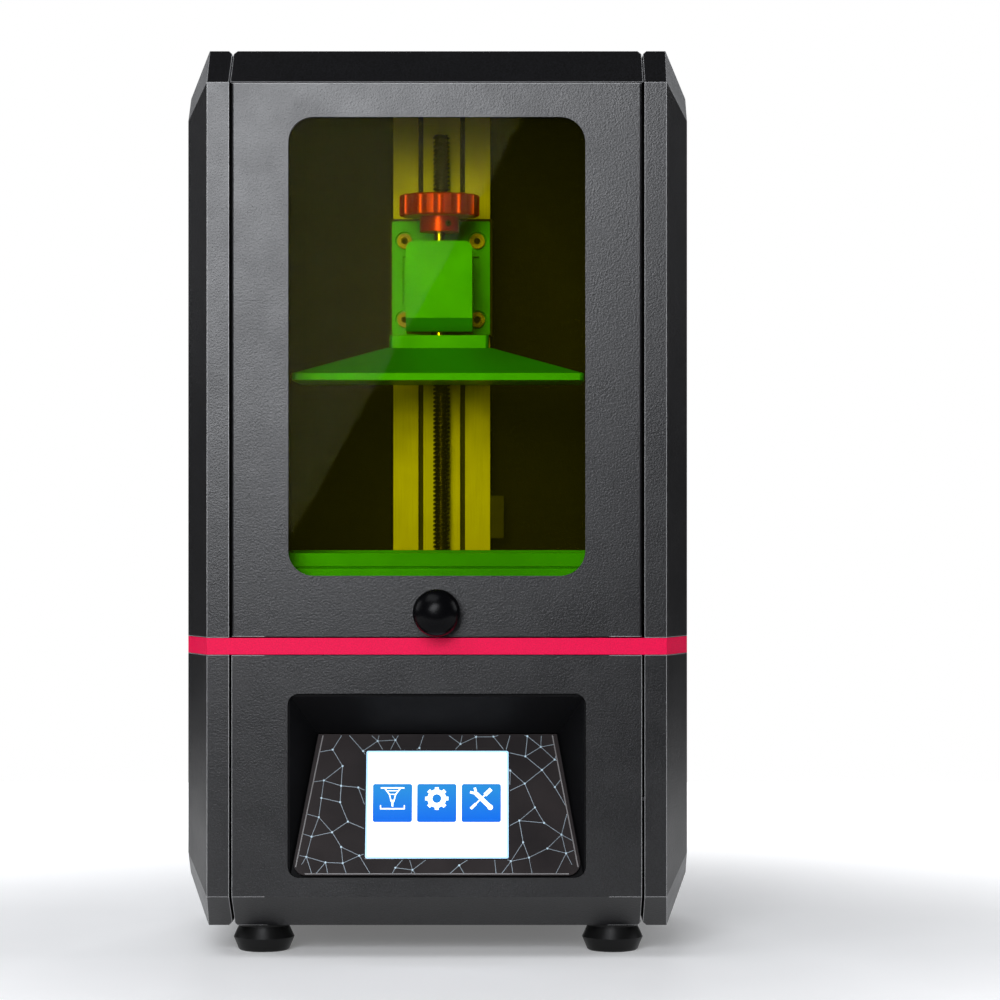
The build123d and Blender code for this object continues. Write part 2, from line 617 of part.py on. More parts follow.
def fan_blades(base):
    """Seven flat pitched blades standing round a plane's normal."""
    with BuildPart() as blades:
        for step in range(7):
            with Locations(base.offset(8.6) * Rot(0, 0, 360 / 7 * step) * Pos(17, 0, 0) * Rot(38, 0, 0)):
                Box(22, 15, 1.2)
    return blades.part


LAMP_FAN = Plane(origin=(0, LAMP_Y, FAN_TOP - FAN_THICKNESS), x_dir=(1, 0, 0), z_dir=(0, 0, 1))
EXHAUST_Y = BACK_Y - 3.6 - FAN_THICKNESS
EXHAUST_FAN = Plane(origin=(0, EXHAUST_Y, EXHAUST_HEIGHT), x_dir=(1, 0, 0), z_dir=(0, 1, 0))
ROTOR_START = 3.2
ROTOR_LENGTH = 10.8
HUB_RADIUS = 9.5

for base, name in ((LAMP_FAN, "lamp_fan"), (EXHAUST_FAN, "exhaust_fan")):
    with BuildPart() as fan_body:
        with BuildSketch(base):
            RectangleRounded(FAN_SIZE, FAN_SIZE, 4)
            Circle(FAN_BORE, mode=Mode.SUBTRACT)
            with GridLocations(50, 50, 2, 2):
                Circle(2.2, mode=Mode.SUBTRACT)
        extrude(amount=FAN_THICKNESS)
        with BuildSketch(base):
            Circle(10)
            with PolarLocations(0, 3):
                with Locations((19, 0)):
                    Rectangle(20, 3)
        extrude(amount=2.5)
    fan_body.part.label = f"{name}_frame"
    export_step(fan_body.part, f"parts/{name}_frame.step")

    pitched_blades = fan_blades(base)
    with BuildPart() as fan_rotor:
        with BuildSketch(base.offset(ROTOR_START)):
            Circle(FAN_BORE - 1)
        extrude(amount=ROTOR_LENGTH)
        add(pitched_blades, mode=Mode.INTERSECT)
        with BuildSketch(base.offset(ROTOR_START)):
            Circle(HUB_RADIUS)
        extrude(amount=ROTOR_LENGTH)
    fan_rotor.part.label = f"{name}_rotor"
    export_step(fan_rotor.part, f"parts/{name}_rotor.step")

# ---------------------------------------------------------------- Z drive

MOTOR_HALF = 21.1
MOTOR_HIGH = DECK_TOP - DECK
MOTOR_LOW = MOTOR_HIGH - 40

with BuildPart() as stepper_motor:
    block((-MOTOR_HALF, MOTOR_HALF), (SCREW_DEPTH - MOTOR_HALF, SCREW_DEPTH + MOTOR_HALF),
          (MOTOR_LOW, MOTOR_HIGH))
    chamfer(stepper_motor.edges().filter_by(Axis.Z), 4)
    rod((0, SCREW_DEPTH, MOTOR_HIGH - 12), (0, 0, 1), SCREW_RADIUS + FIT, 20, mode=Mode.SUBTRACT)
stepper_motor.part.label = "stepper_motor"
export_step(stepper_motor.part, "parts/stepper_motor.step")

with BuildPart() as lead_screw:
    rod((0, SCREW_DEPTH, MOTOR_HIGH - 11.5), (0, 0, 1), SCREW_RADIUS, SCREW_TOP - MOTOR_HIGH + 11.5)
    chamfer(lead_screw.edges().filter_by(GeomType.CIRCLE).group_by(Axis.Z)[-1], 0.6)
lead_screw.part.label = "lead_screw"
export_step(lead_screw.part, "parts/lead_screw.step")

with BuildPart() as z_rail:
    block((-RAIL_HALF, RAIL_HALF), (RAIL_FRONT, RAIL_BACK), (DECK_TOP, RAIL_TOP))
    for side in (-1, 1):
        groove = sorted((side * (GROOVE_AT - GROOVE_WIDTH / 2), side * (GROOVE_AT + GROOVE_WIDTH / 2)))
        block(groove, (RAIL_FRONT - 1, RAIL_FRONT + 3), (DECK_TOP - 1, RAIL_TOP + 1), mode=Mode.SUBTRACT)
z_rail.part.label = "z_rail"
export_step(z_rail.part, "parts/z_rail.step")

with BuildPart() as limit_switch:
    block((RAIL_HALF, RAIL_HALF + 6.4), (129.5, RAIL_BACK), (182, 202))
    block((RAIL_HALF + 1.8, RAIL_HALF + 4.8), (128.5, 129.5), (196, 200))
limit_switch.part.label = "limit_switch"
export_step(limit_switch.part, "parts/limit_switch.step")

PLATE_FACE = 108
SLIDER_FRONT = 113
SLIDER_BACK = RAIL_FRONT - 0.3
NUT_RADIUS = 5.2
CAP_RADIUS = 3.5
CAP_HEIGHT = 4
CAP_SINK = 2.5
CAP_FACE = PLATE_FACE + CAP_SINK - CAP_HEIGHT
CAP_SCREWS = [(side * 16.9, level) for side in (-1, 1) for level in (284, 320.6)]

with BuildPart() as slider_block:
    block((-SLIDER_HALF, SLIDER_HALF), (SLIDER_FRONT, SLIDER_BACK), (CARRIAGE_LOW, SLIDER_HIGH))
    for side in (-1, 1):
        runner = sorted((side * (GROOVE_AT - 1.1), side * (GROOVE_AT + 1.1)))
        block(runner, (SLIDER_BACK - 1, RAIL_FRONT + 2.6), (CARRIAGE_LOW, SLIDER_HIGH))
    rod((0, SCREW_DEPTH, 270), (0, 0, 1), NUT_RADIUS + 0.1, 70, mode=Mode.SUBTRACT)
    for x, level in CAP_SCREWS:
        rod((x, SLIDER_FRONT - 1, level), (0, 1, 0), 2 + FIT, 10, mode=Mode.SUBTRACT)
slider_block.part.label = "slider_block"
export_step(slider_block.part, "parts/slider_block.step")

with BuildPart() as lead_nut:
    rod((0, SCREW_DEPTH, 286), (0, 0, 1), NUT_RADIUS, 32)
    rod((0, SCREW_DEPTH, 280), (0, 0, 1), SCREW_RADIUS + FIT, 44, mode=Mode.SUBTRACT)
lead_nut.part.label = "lead_nut"
export_step(lead_nut.part, "parts/lead_nut.step")

with BuildPart() as carriage_plate:
    block((-CARRIAGE_HALF, CARRIAGE_HALF), (PLATE_FACE, SLIDER_FRONT), (CARRIAGE_LOW, CARRIAGE_HIGH))
    fillet(carriage_plate.edges().filter_by(Axis.Y), 0.6)
    for x, level in CAP_SCREWS:
        rod((x, PLATE_FACE - 1, level), (0, 1, 0), 2.2, 8, mode=Mode.SUBTRACT)
        rod((x, PLATE_FACE - 1, level), (0, 1, 0), CAP_RADIUS + 0.9, CAP_SINK + 1, mode=Mode.SUBTRACT)
    for side in (-1, 1):
        slot = sorted((side * 14.9, side * 17.8))
        block(slot, (PLATE_FACE - 1, PLATE_FACE + 3), (291.5, 313.5), mode=Mode.SUBTRACT)
carriage_plate.part.label = "carriage_plate"
export_step(carriage_plate.part, "parts/carriage_plate.step")

with BuildPart() as carriage_screws:
    for x, level in CAP_SCREWS:
        rod((x, PLATE_FACE + CAP_SINK, level), (0, 1, 0), 2, 13 - CAP_SINK)
        rod((x, CAP_FACE, level), (0, 1, 0), CAP_RADIUS, CAP_HEIGHT)
        with BuildSketch(Plane(origin=(x, FRONT_Y + CAP_FACE, level), z_dir=(0, 1, 0))):
            RegularPolygon(1.8, 6)
        extrude(amount=2.2, mode=Mode.SUBTRACT)
carriage_screws.part.label = "carriage_screws"
export_step(carriage_screws.part, "parts/carriage_screws.step")

HOLDER_FRONT = 56
HOLDER_BACK = 84

with BuildPart() as z_arm:
    block((-14, 14), (102, PLATE_FACE), (289, 317))
    block((-12, 12), (HOLDER_FRONT + 4.4, 103), (SHELF_LOW, SHELF_HIGH))
    for side in (-1, 1):
        with BuildSketch(SIDE_VIEW.offset(side * 11 - 1)):
            Polygon((HOLDER_BACK + 0.6, SHELF_LOW), (102, SHELF_LOW), (102, 289), align=None)
        extrude(amount=2)
z_arm.part.label = "z_arm"
export_step(z_arm.part, "parts/z_arm.step")

# ---------------------------------------------------------------- platform

with BuildPart() as platform_holder:
    with BuildSketch(SIDE_VIEW) as side_form:
        Polygon((HOLDER_FRONT, HOLDER_LOW + 6), (HOLDER_FRONT + 4, HOLDER_LOW), (HOLDER_BACK, HOLDER_LOW),
                (HOLDER_BACK, HOLDER_HIGH), (HOLDER_FRONT, HOLDER_HIGH), align=None)
    extrude(amount=HOLDER_HALF, both=True)
    fillet(platform_holder.edges().filter_by(Axis.Y).group_by(Axis.Z)[-1], 4)
    block((-12.3, 12.3), (HOLDER_FRONT + 4, HOLDER_BACK + 1), (SHELF_LOW - 0.4, SHELF_HIGH + 1.4),
          mode=Mode.SUBTRACT)
    rod((0, PLATFORM_DEPTH, SHELF_HIGH), (0, 0, 1), STUD_RADIUS + FIT, 20, mode=Mode.SUBTRACT)
platform_holder.part.label = "platform_holder"
export_step(platform_holder.part, "parts/platform_holder.step")

with BuildPart() as ball_stud:
    with Locations((0, PLATFORM_Y, BALL_HEIGHT)):
        Sphere(BALL_RADIUS)
    rod((0, PLATFORM_DEPTH, BALL_HEIGHT), (0, 0, 1), 4, HOLDER_LOW - BALL_HEIGHT)
ball_stud.part.label = "ball_stud"
export_step(ball_stud.part, "parts/ball_stud.step")

SET_ANGLE = math.radians(28)
SET_WAY = (math.sin(SET_ANGLE), -math.cos(SET_ANGLE), 0)
SET_HEIGHT = 325.3

with BuildPart() as platform_knob:
    rod((0, PLATFORM_DEPTH, GRIP_LOW), (0, 0, 1), GRIP_RADIUS, GRIP_HIGH - GRIP_LOW)
    with BuildSketch(Plane(origin=(0, PLATFORM_Y, GRIP_LOW - 1))):
        with PolarLocations(GRIP_RADIUS + 1.6, 14, start_angle=360 / 28):
            Circle(3)
    extrude(amount=GRIP_HIGH - GRIP_LOW + 2, mode=Mode.SUBTRACT)
    rims = platform_knob.edges().group_by(Axis.Z)
    chamfer(rims[0] + rims[-1], 0.7)
    rod((0, PLATFORM_DEPTH, HUB_LOW), (0, 0, 1), 8.9, GRIP_LOW - HUB_LOW)
    rod((0, PLATFORM_DEPTH, HUB_LOW - 1), (0, 0, 1), STUD_RADIUS + FIT, 13, mode=Mode.SUBTRACT)
    rod((0, PLATFORM_DEPTH, SET_HEIGHT), SET_WAY, 1.5 + FIT, 12, mode=Mode.SUBTRACT)
platform_knob.part.label = "platform_knob"
export_step(platform_knob.part, "parts/platform_knob.step")

with BuildPart() as clamp_stud:
    rod((0, PLATFORM_DEPTH, SHELF_HIGH + FIT), (0, 0, 1), STUD_RADIUS, 27.5)
clamp_stud.part.label = "clamp_stud"
export_step(clamp_stud.part, "parts/clamp_stud.step")

with BuildPart() as knob_set_screw:
    inner_end = STUD_RADIUS + 0.1
    start = (SET_WAY[0] * inner_end, PLATFORM_DEPTH + SET_WAY[1] * inner_end, SET_HEIGHT)
    rod(start, SET_WAY, 1.5, 6)
    outer_end = (SET_WAY[0] * 8.6, PLATFORM_Y + SET_WAY[1] * 8.6, SET_HEIGHT)
    with BuildSketch(Plane(origin=outer_end, z_dir=SET_WAY)):
        RegularPolygon(0.85, 6)
    extrude(amount=-1.5, mode=Mode.SUBTRACT)
knob_set_screw.part.label = "knob_set_screw"
export_step(knob_set_screw.part, "parts/knob_set_screw.step")

with BuildPart() as build_plate:
    block((-PLATE_WIDTH / 2, PLATE_WIDTH / 2),
          (PLATFORM_DEPTH - PLATE_LENGTH / 2, PLATFORM_DEPTH + PLATE_LENGTH / 2), (PLATE_LOW, PLATE_HIGH))
    fillet(build_plate.edges().filter_by(Axis.Z), 2)
build_plate.part.label = "build_plate"
export_step(build_plate.part, "parts/build_plate.step")

with BuildPart() as plate_roof:
    with BuildSketch(Plane(origin=(0, PLATFORM_Y, PLATE_HIGH))):
        Rectangle(PLATE_WIDTH - 1, PLATE_LENGTH - 1)
    with BuildSketch(Plane(origin=(0, PLATFORM_Y, ROOF_TOP))):
        Rectangle(ROOF_WIDTH, ROOF_LENGTH)
    loft()
    with Locations((0, PLATFORM_Y, BALL_HEIGHT)):
        Sphere(BALL_RADIUS + FIT, mode=Mode.SUBTRACT)
plate_roof.part.label = "plate_roof"
export_step(plate_roof.part, "parts/plate_roof.step")

with BuildPart() as socket_clamp:
    block((-22.4, 22.4), (PLATFORM_DEPTH - 11.5, PLATFORM_DEPTH + 11.5), (ROOF_TOP, CLAMP_TOP))
    fillet(socket_clamp.edges().filter_by(Axis.Z), 1.5)
    with Locations((0, PLATFORM_Y, BALL_HEIGHT)):
        Sphere(BALL_RADIUS + FIT, mode=Mode.SUBTRACT)
    rod((0, PLATFORM_DEPTH, BALL_HEIGHT), (0, 0, 1), 5.6, 20, mode=Mode.SUBTRACT)
socket_clamp.part.label = "socket_clamp"
export_step(socket_clamp.part, "parts/socket_clamp.step")

# ---------------------------------------------------------------- vat

RING_TOP = DECK_TOP + 0.8
FILM_TOP = RING_TOP + 0.2
VAT_SCREW_HEAD = FILM_TOP + 3.8
FILM_MARGIN = 3

VAT_MIDDLE_Y = FRONT_Y + (VAT_FRONT + VAT_BACK) / 2
RIM_HEIGHT = 6.2
RIM_GROOVE = 0.7
EAR_THICKNESS = 3.4
EAR_EDGE = VAT_SCREW_AT - 2.8

with BuildPart() as vat_frame:
    block((-VAT_HALF, VAT_HALF), (VAT_FRONT, VAT_BACK), (FILM_TOP, VAT_TOP))
    fillet(vat_frame.edges().filter_by(Axis.Z), 8)
    block((-VAT_HALF + VAT_WALL, VAT_HALF - VAT_WALL), (VAT_FRONT + VAT_WALL, VAT_BACK - VAT_WALL),
          (FILM_TOP - 1, VAT_TOP + 1), mode=Mode.SUBTRACT)
    with BuildSketch(Plane(origin=(0, VAT_MIDDLE_Y, VAT_TOP - RIM_HEIGHT))):
        RectangleRounded(2 * VAT_HALF + 2, VAT_BACK - VAT_FRONT + 2, 9)
        RectangleRounded(2 * (VAT_HALF - RIM_GROOVE), VAT_BACK - VAT_FRONT - 2 * RIM_GROOVE,
                         8 - RIM_GROOVE, mode=Mode.SUBTRACT)
    extrude(amount=-RIM_GROOVE, mode=Mode.SUBTRACT)
    for side in (-1, 1):
        ear = sorted((side * (VAT_HALF - 1), side * EAR_EDGE))
        block(ear, (VAT_SCREW_DEPTH - 12, VAT_SCREW_DEPTH + 12), (FILM_TOP, FILM_TOP + EAR_THICKNESS))
vat_frame.part.label = "vat_frame"
export_step(vat_frame.part, "parts/vat_frame.step")

with BuildPart() as vat_film:
    block((-VAT_HALF + FILM_MARGIN, VAT_HALF - FILM_MARGIN),
          (VAT_FRONT + FILM_MARGIN, VAT_BACK - FILM_MARGIN), (RING_TOP, FILM_TOP))
vat_film.part.label = "vat_film"
export_step(vat_film.part, "parts/vat_film.step")

with BuildPart() as film_ring:
    block((-VAT_HALF + 1, VAT_HALF - 1), (VAT_FRONT + 1, VAT_BACK - 1), (DECK_TOP, RING_TOP))
    fillet(film_ring.edges().filter_by(Axis.Z), 7)
    block((-VAT_HALF + VAT_WALL + 1, VAT_HALF - VAT_WALL - 1),
          (VAT_FRONT + VAT_WALL + 1, VAT_BACK - VAT_WALL - 1), (DECK_TOP - 1, RING_TOP + 1),
          mode=Mode.SUBTRACT)
film_ring.part.label = "film_ring"
export_step(film_ring.part, "parts/film_ring.step")

for side, name in ((-1, "vat_screw_left"), (1, "vat_screw_right")):
    with BuildPart() as vat_screw:
        spot = (side * VAT_SCREW_AT, VAT_SCREW_DEPTH)
        rod((*spot, DECK_TOP - 8), (0, 0, 1), 2, VAT_SCREW_HEAD - DECK_TOP + 8)
        rod((*spot, VAT_SCREW_HEAD), (0, 0, 1), 7, 11)
        with BuildSketch(Plane(origin=(spot[0], FRONT_Y + spot[1], VAT_SCREW_HEAD + 2))):
            with PolarLocations(7.5, 12):
                Circle(1)
        extrude(amount=10, mode=Mode.SUBTRACT)
    vat_screw.part.label = name
    export_step(vat_screw.part, f"parts/{name}.step")

# ---------------------------------------------------------------- electronics

BOARD_FRONT = 151
BOARD_BACK = BOARD_FRONT + 1.6
# Components as x, height, width, length and thickness: driver coolers, processor, connectors, capacitor.
COMPONENTS = (
    (-42, 262, 14, 14, 8),
    (-18, 262, 14, 14, 8),
    (20, 240, 16, 16, 2.5),
    (44, 262, 18, 9, 10),
    (-40, 205, 30, 8, 9),
    (10, 205, 24, 8, 9),
    (44, 212, 12, 20, 6),
)

with BuildPart() as mainboard:
    block((-60, 60), (BOARD_FRONT, BOARD_BACK), (190, 280))
    for x, level, width, length, thick in COMPONENTS:
        block((x - width / 2, x + width / 2), (BOARD_BACK, BOARD_BACK + thick),
              (level - length / 2, level + length / 2))
    for x in (-54, 54):
        for level in (196, 274):
            rod((x, REAR_WALL_DEPTH + SHEET, level), (0, 1, 0), 3, BOARD_FRONT - REAR_WALL_DEPTH - SHEET)
mainboard.part.label = "mainboard"
export_step(mainboard.part, "parts/mainboard.step")

USB_BODY = (13.2, 5.7)
USB_WALL = 0.4
USB_SIDES = (USB_DEPTH - USB_BODY[0] / 2, USB_DEPTH + USB_BODY[0] / 2)
USB_LEVELS = (USB_HEIGHT - USB_BODY[1] / 2, USB_HEIGHT + USB_BODY[1] / 2)
USB_EDGE = CASE_WIDTH / 2

with BuildPart() as usb_socket:
    block((USB_EDGE - 15, USB_EDGE - 0.2), USB_SIDES, USB_LEVELS)
    block((USB_EDGE - 13, USB_EDGE + 1), (USB_SIDES[0] + USB_WALL, USB_SIDES[1] - USB_WALL),
          (USB_LEVELS[0] + USB_WALL, USB_LEVELS[1] - USB_WALL), mode=Mode.SUBTRACT)
    block((USB_EDGE - 14, USB_EDGE - 3), (USB_DEPTH - 5.5, USB_DEPTH + 5.5),
          (USB_HEIGHT + 0.3, USB_HEIGHT + 2.1))
    block((USB_EDGE - 25, USB_EDGE - 4), (USB_DEPTH - 9, USB_DEPTH + 9), (USB_LEVELS[0] - 1.6, USB_LEVELS[0]))
usb_socket.part.label = "usb_socket"
export_step(usb_socket.part, "parts/usb_socket.step")

with BuildPart() as power_inlet:
    rod((INLET_AT[0], CASE_DEPTH - 16, INLET_AT[1]), (0, 1, 0), INLET_RADIUS, 15.6)
    rod((INLET_AT[0], CASE_DEPTH - SHEET - LINING_GAP, INLET_AT[1]), (0, 1, 0), 7.5, 1.4)
    rod((INLET_AT[0], CASE_DEPTH - 11, INLET_AT[1]), (0, 1, 0), 3.1, 14, mode=Mode.SUBTRACT)
    rod((INLET_AT[0], CASE_DEPTH - 12, INLET_AT[1]), (0, 1, 0), 1.05, 10)
power_inlet.part.label = "power_inlet"
export_step(power_inlet.part, "parts/power_inlet.step")

ROCKER_AXIS = 194.5
ROCKER_BACK = 191
ROCKER_HALF_HEIGHT = 4.6
SWITCH_WELL = (17.2, 10)
PIVOT_RADIUS = 1.2
PIVOT_HALF = 5.8

with BuildPart() as switch_housing:
    block((SWITCH_AT[0] - 9.6, SWITCH_AT[0] + 9.6), (184, 199), (SWITCH_AT[1] - 6.4, SWITCH_AT[1] + 6.4))
    block((SWITCH_AT[0] - 11, SWITCH_AT[0] + 11), (198.2, 199.6), (SWITCH_AT[1] - 7.8, SWITCH_AT[1] + 7.8))
    block((SWITCH_AT[0] - SWITCH_WELL[0] / 2, SWITCH_AT[0] + SWITCH_WELL[0] / 2), (189, 201),
          (SWITCH_AT[1] - SWITCH_WELL[1] / 2, SWITCH_AT[1] + SWITCH_WELL[1] / 2), mode=Mode.SUBTRACT)
    rod((SWITCH_AT[0], ROCKER_AXIS, SWITCH_AT[1] - PIVOT_HALF - FIT), (0, 0, 1), PIVOT_RADIUS + FIT,
        2 * (PIVOT_HALF + FIT), mode=Mode.SUBTRACT)
switch_housing.part.label = "switch_housing"
export_step(switch_housing.part, "parts/switch_housing.step")

SWITCH_PLANE = Plane(origin=(SWITCH_AT[0], FRONT_Y, SWITCH_AT[1]), x_dir=(1, 0, 0), z_dir=(0, 0, 1))

with BuildPart() as rocker:
    with BuildSketch(SWITCH_PLANE):
        Polygon((-7.4, 199.4), (-7.4, ROCKER_BACK + 4.5), (-3, ROCKER_BACK), (3, ROCKER_BACK),
                (7.4, ROCKER_BACK + 2.5), (7.4, 197.4), (0, 197.2), align=None)
    extrude(amount=ROCKER_HALF_HEIGHT, both=True)
    rod((SWITCH_AT[0], ROCKER_AXIS, SWITCH_AT[1] - PIVOT_HALF), (0, 0, 1), PIVOT_RADIUS, 2 * PIVOT_HALF)
rocker.part.label = "rocker"
export_step(rocker.part, "parts/rocker.step")
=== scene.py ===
"""Looks of the resin printer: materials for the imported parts, and the pieces that only need to be seen."""
import itertools
import json
import math
import random

import bmesh
import bpy
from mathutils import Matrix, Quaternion, Vector


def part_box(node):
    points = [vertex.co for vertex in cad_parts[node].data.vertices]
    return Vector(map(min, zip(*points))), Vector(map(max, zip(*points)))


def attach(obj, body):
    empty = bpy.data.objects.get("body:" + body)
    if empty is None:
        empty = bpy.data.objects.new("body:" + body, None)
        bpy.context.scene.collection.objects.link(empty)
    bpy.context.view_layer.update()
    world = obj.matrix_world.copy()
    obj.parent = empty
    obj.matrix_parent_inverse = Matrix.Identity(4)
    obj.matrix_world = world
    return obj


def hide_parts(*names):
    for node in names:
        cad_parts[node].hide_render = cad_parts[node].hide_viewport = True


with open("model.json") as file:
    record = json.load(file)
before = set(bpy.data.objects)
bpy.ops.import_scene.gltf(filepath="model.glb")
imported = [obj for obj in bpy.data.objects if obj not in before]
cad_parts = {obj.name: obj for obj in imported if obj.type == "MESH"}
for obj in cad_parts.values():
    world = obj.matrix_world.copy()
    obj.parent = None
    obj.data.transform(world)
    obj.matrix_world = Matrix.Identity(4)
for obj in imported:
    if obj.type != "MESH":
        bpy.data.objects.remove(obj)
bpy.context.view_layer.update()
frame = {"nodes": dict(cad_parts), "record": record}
MM = 0.001
# The casing's painted edge highlights: how far they reach, and where they begin beside and above the window.
EDGE_HIGHLIGHT_RADIUS = 0.55 * MM
HIGHLIGHT_BESIDE = 0.075
HIGHLIGHT_ABOVE = 0.375


# ---------------------------------------------------------------- materials

def link(tree, source, target):
    """Joins two sockets of a node tree."""
    tree.links.new(source, target)


def new_material(name):
    """Empty material with its node tree and its principled shader."""
    material = bpy.data.materials.new(name)
    material.use_nodes = True
    return material, material.node_tree, material.node_tree.nodes["Principled BSDF"]


def coordinates(tree, kind):
    """The three coordinates of a point of the surface, as sockets named X, Y and Z."""
    place = tree.nodes.new("ShaderNodeTexCoord")
    parts = tree.nodes.new("ShaderNodeSeparateXYZ")
    link(tree, place.outputs[kind], parts.inputs["Vector"])
    return parts.outputs


def calculate(tree, operation, *values):
    """Result of a sum or a comparison of sockets and plain numbers."""
    node = tree.nodes.new("ShaderNodeMath")
    node.operation = operation
    for place, value in enumerate(values):
        if isinstance(value, float):
            node.inputs[place].default_value = value
        else:
            link(tree, value, node.inputs[place])
    return node.outputs["Value"]


def noise(tree, scale, detail=3.0, roughness=0.5):
    """Noise over the part's own coordinates; scale counts features to the metre."""
    place = tree.nodes.new("ShaderNodeTexCoord")
    texture = tree.nodes.new("ShaderNodeTexNoise")
    texture.inputs["Scale"].default_value = scale
    texture.inputs["Detail"].default_value = detail
    texture.inputs["Roughness"].default_value = roughness
    link(tree, place.outputs["Object"], texture.inputs["Vector"])
    return texture.outputs["Fac"]


def stretched_noise(tree, scale, stretch, detail=4.0):
    """Noise drawn out along one axis, for brushed, milled or turned marks."""
    place = tree.nodes.new("ShaderNodeTexCoord")
    mapping = tree.nodes.new("ShaderNodeMapping")
    mapping.inputs["Scale"].default_value = stretch
    texture = tree.nodes.new("ShaderNodeTexNoise")
    texture.inputs["Scale"].default_value = scale
    texture.inputs["Detail"].default_value = detail
    link(tree, place.outputs["Object"], mapping.inputs["Vector"])
    link(tree, mapping.outputs["Vector"], texture.inputs["Vector"])
    return texture.outputs["Fac"]


def blend_colours(tree, factor, first, second, low=0.35, high=0.65):
    """Colour that runs from first to second as the factor passes from low to high."""
    ramp = tree.nodes.new("ShaderNodeValToRGB")
    ramp.color_ramp.elements[0].position = low
    ramp.color_ramp.elements[1].position = high
    ramp.color_ramp.elements[0].color = (*first, 1)
    ramp.color_ramp.elements[1].color = (*second, 1)
    link(tree, factor, ramp.inputs["Fac"])
    return ramp.outputs["Color"]


def spread(tree, factor, low, high):
    """Number between low and high that follows a noise, which seldom leaves 0.3 to 0.7."""
    scaler = tree.nodes.new("ShaderNodeMapRange")
    scaler.inputs["From Min"].default_value = 0.3
    scaler.inputs["From Max"].default_value = 0.7
    scaler.inputs["To Min"].default_value = low
    scaler.inputs["To Max"].default_value = high
    link(tree, factor, scaler.inputs["Value"])
    return scaler.outputs["Result"]


def bump(tree, height, distance, strength=1.0, below=None):
    """Bump of a height in metres, laid over another one if given."""
    node = tree.nodes.new("ShaderNodeBump")
    node.inputs["Distance"].default_value = distance
    node.inputs["Strength"].default_value = strength
    link(tree, height, node.inputs["Height"])
    if below is not None:
        link(tree, below, node.inputs["Normal"])
    return node.outputs["Normal"]


def shaded(colour, vary=0.12):
    """Darker and lighter neighbours of a colour."""
    return [c * (1 - vary) for c in colour], [min(1, c * (1 + vary)) for c in colour]


def finish_material(name, colour, rough, metallic=0.0, specular=0.5, vary=0.12, patch=30, grain=900,
                    grain_height=0.00004, grain_strength=0.4, coat=0.0, brushed=None, second=None):
    """Principled finish with colour variation, uneven gloss and a fine relief, all from noise."""
    material, tree, shader = new_material(name)
    dark, light = (colour, second) if second else shaded(colour, vary)
    fine = stretched_noise(tree, grain, brushed) if brushed else noise(tree, grain, 2)
    tone = blend_colours(tree, fine if brushed else noise(tree, patch, 4), dark, light)
    link(tree, tone, shader.inputs["Base Color"])
    link(tree, spread(tree, noise(tree, patch * 3, 5), rough[0], rough[1]), shader.inputs["Roughness"])
    wide = bump(tree, noise(tree, patch * 2, 2), grain_height * 3, 0.25)
    link(tree, bump(tree, fine, grain_height, grain_strength, wide), shader.inputs["Normal"])
    shader.inputs["Metallic"].default_value = metallic
    shader.inputs["Specular IOR Level"].default_value = specular
    shader.inputs["Coat Weight"].default_value = coat
    return material


def highlight_region(tree):
    """Where the painted edge highlight may show: one near the sides and the top of the casing, nothing round
    the window and the console.
    """
    spot = coordinates(tree, "Object")
    beside = calculate(tree, "GREATER_THAN", calculate(tree, "ABSOLUTE", spot["X"]), HIGHLIGHT_BESIDE)
    above = calculate(tree, "GREATER_THAN", spot["Z"], HIGHLIGHT_ABOVE)
    return calculate(tree, "MAXIMUM", beside, above)


def edge_highlight_mask(tree, radius, open_face=0.99, edge=0.93):
    """Mask of the painted edge highlight: one on a sharp outer edge, falling to nothing on the open face
    beside it.

    open_face and edge say how alike the rounded and the true direction of the face are there.
    """
    rounded = tree.nodes.new("ShaderNodeBevel")
    rounded.samples = 6
    rounded.inputs["Radius"].default_value = radius
    flat = tree.nodes.new("ShaderNodeNewGeometry")
    likeness = tree.nodes.new("ShaderNodeVectorMath")
    likeness.operation = "DOT_PRODUCT"
    link(tree, rounded.outputs["Normal"], likeness.inputs[0])
    link(tree, flat.outputs["Normal"], likeness.inputs[1])
    mask = tree.nodes.new("ShaderNodeMapRange")
    mask.inputs["From Min"].default_value = open_face
    mask.inputs["From Max"].default_value = edge
    link(tree, likeness.outputs["Value"], mask.inputs["Value"])
    return calculate(tree, "MULTIPLY", mask.outputs["Result"], highlight_region(tree))


def over_colour(tree, factor, below, colour):
    """Lays a plain colour over another one where the factor is high."""
    layer = tree.nodes.new("ShaderNodeMix")
    layer.data_type = "RGBA"
    layer.inputs[7].default_value = (*colour, 1)
    link(tree, factor, layer.inputs[0])
    link(tree, below, layer.inputs[6])
    return layer.outputs[2]


def powder_coat(name, colour, rough, grain=1500, speckle=0.35, metallic=0.0, specular=0.5, edge=None):
    """Powder coat: a dense fine orange peel with lighter flecks, and a painted highlight on its edges where
    asked.
    """
    material, tree, shader = new_material(name)
    fleck = noise(tree, grain, 1, 0.4)
    dark, light = shaded(colour, speckle)
    tone = blend_colours(tree, fleck, dark, light, 0.38, 0.62)
    if edge:
        # The pale edge colour laid over the tone here is a painted highlight on the casing's edges.
        tone = over_colour(tree, edge_highlight_mask(tree, EDGE_HIGHLIGHT_RADIUS), tone, edge)
    link(tree, tone, shader.inputs["Base Color"])
    link(tree, spread(tree, noise(tree, 60, 4), rough[0], rough[1]), shader.inputs["Roughness"])
    peel = bump(tree, noise(tree, grain * 0.8, 2, 0.6), 0.0001, 0.75)
    link(tree, bump(tree, noise(tree, grain * 0.28, 2), 0.00008, 0.18, peel), shader.inputs["Normal"])
    shader.inputs["Metallic"].default_value = metallic
    shader.inputs["Specular IOR Level"].default_value = specular
    return material


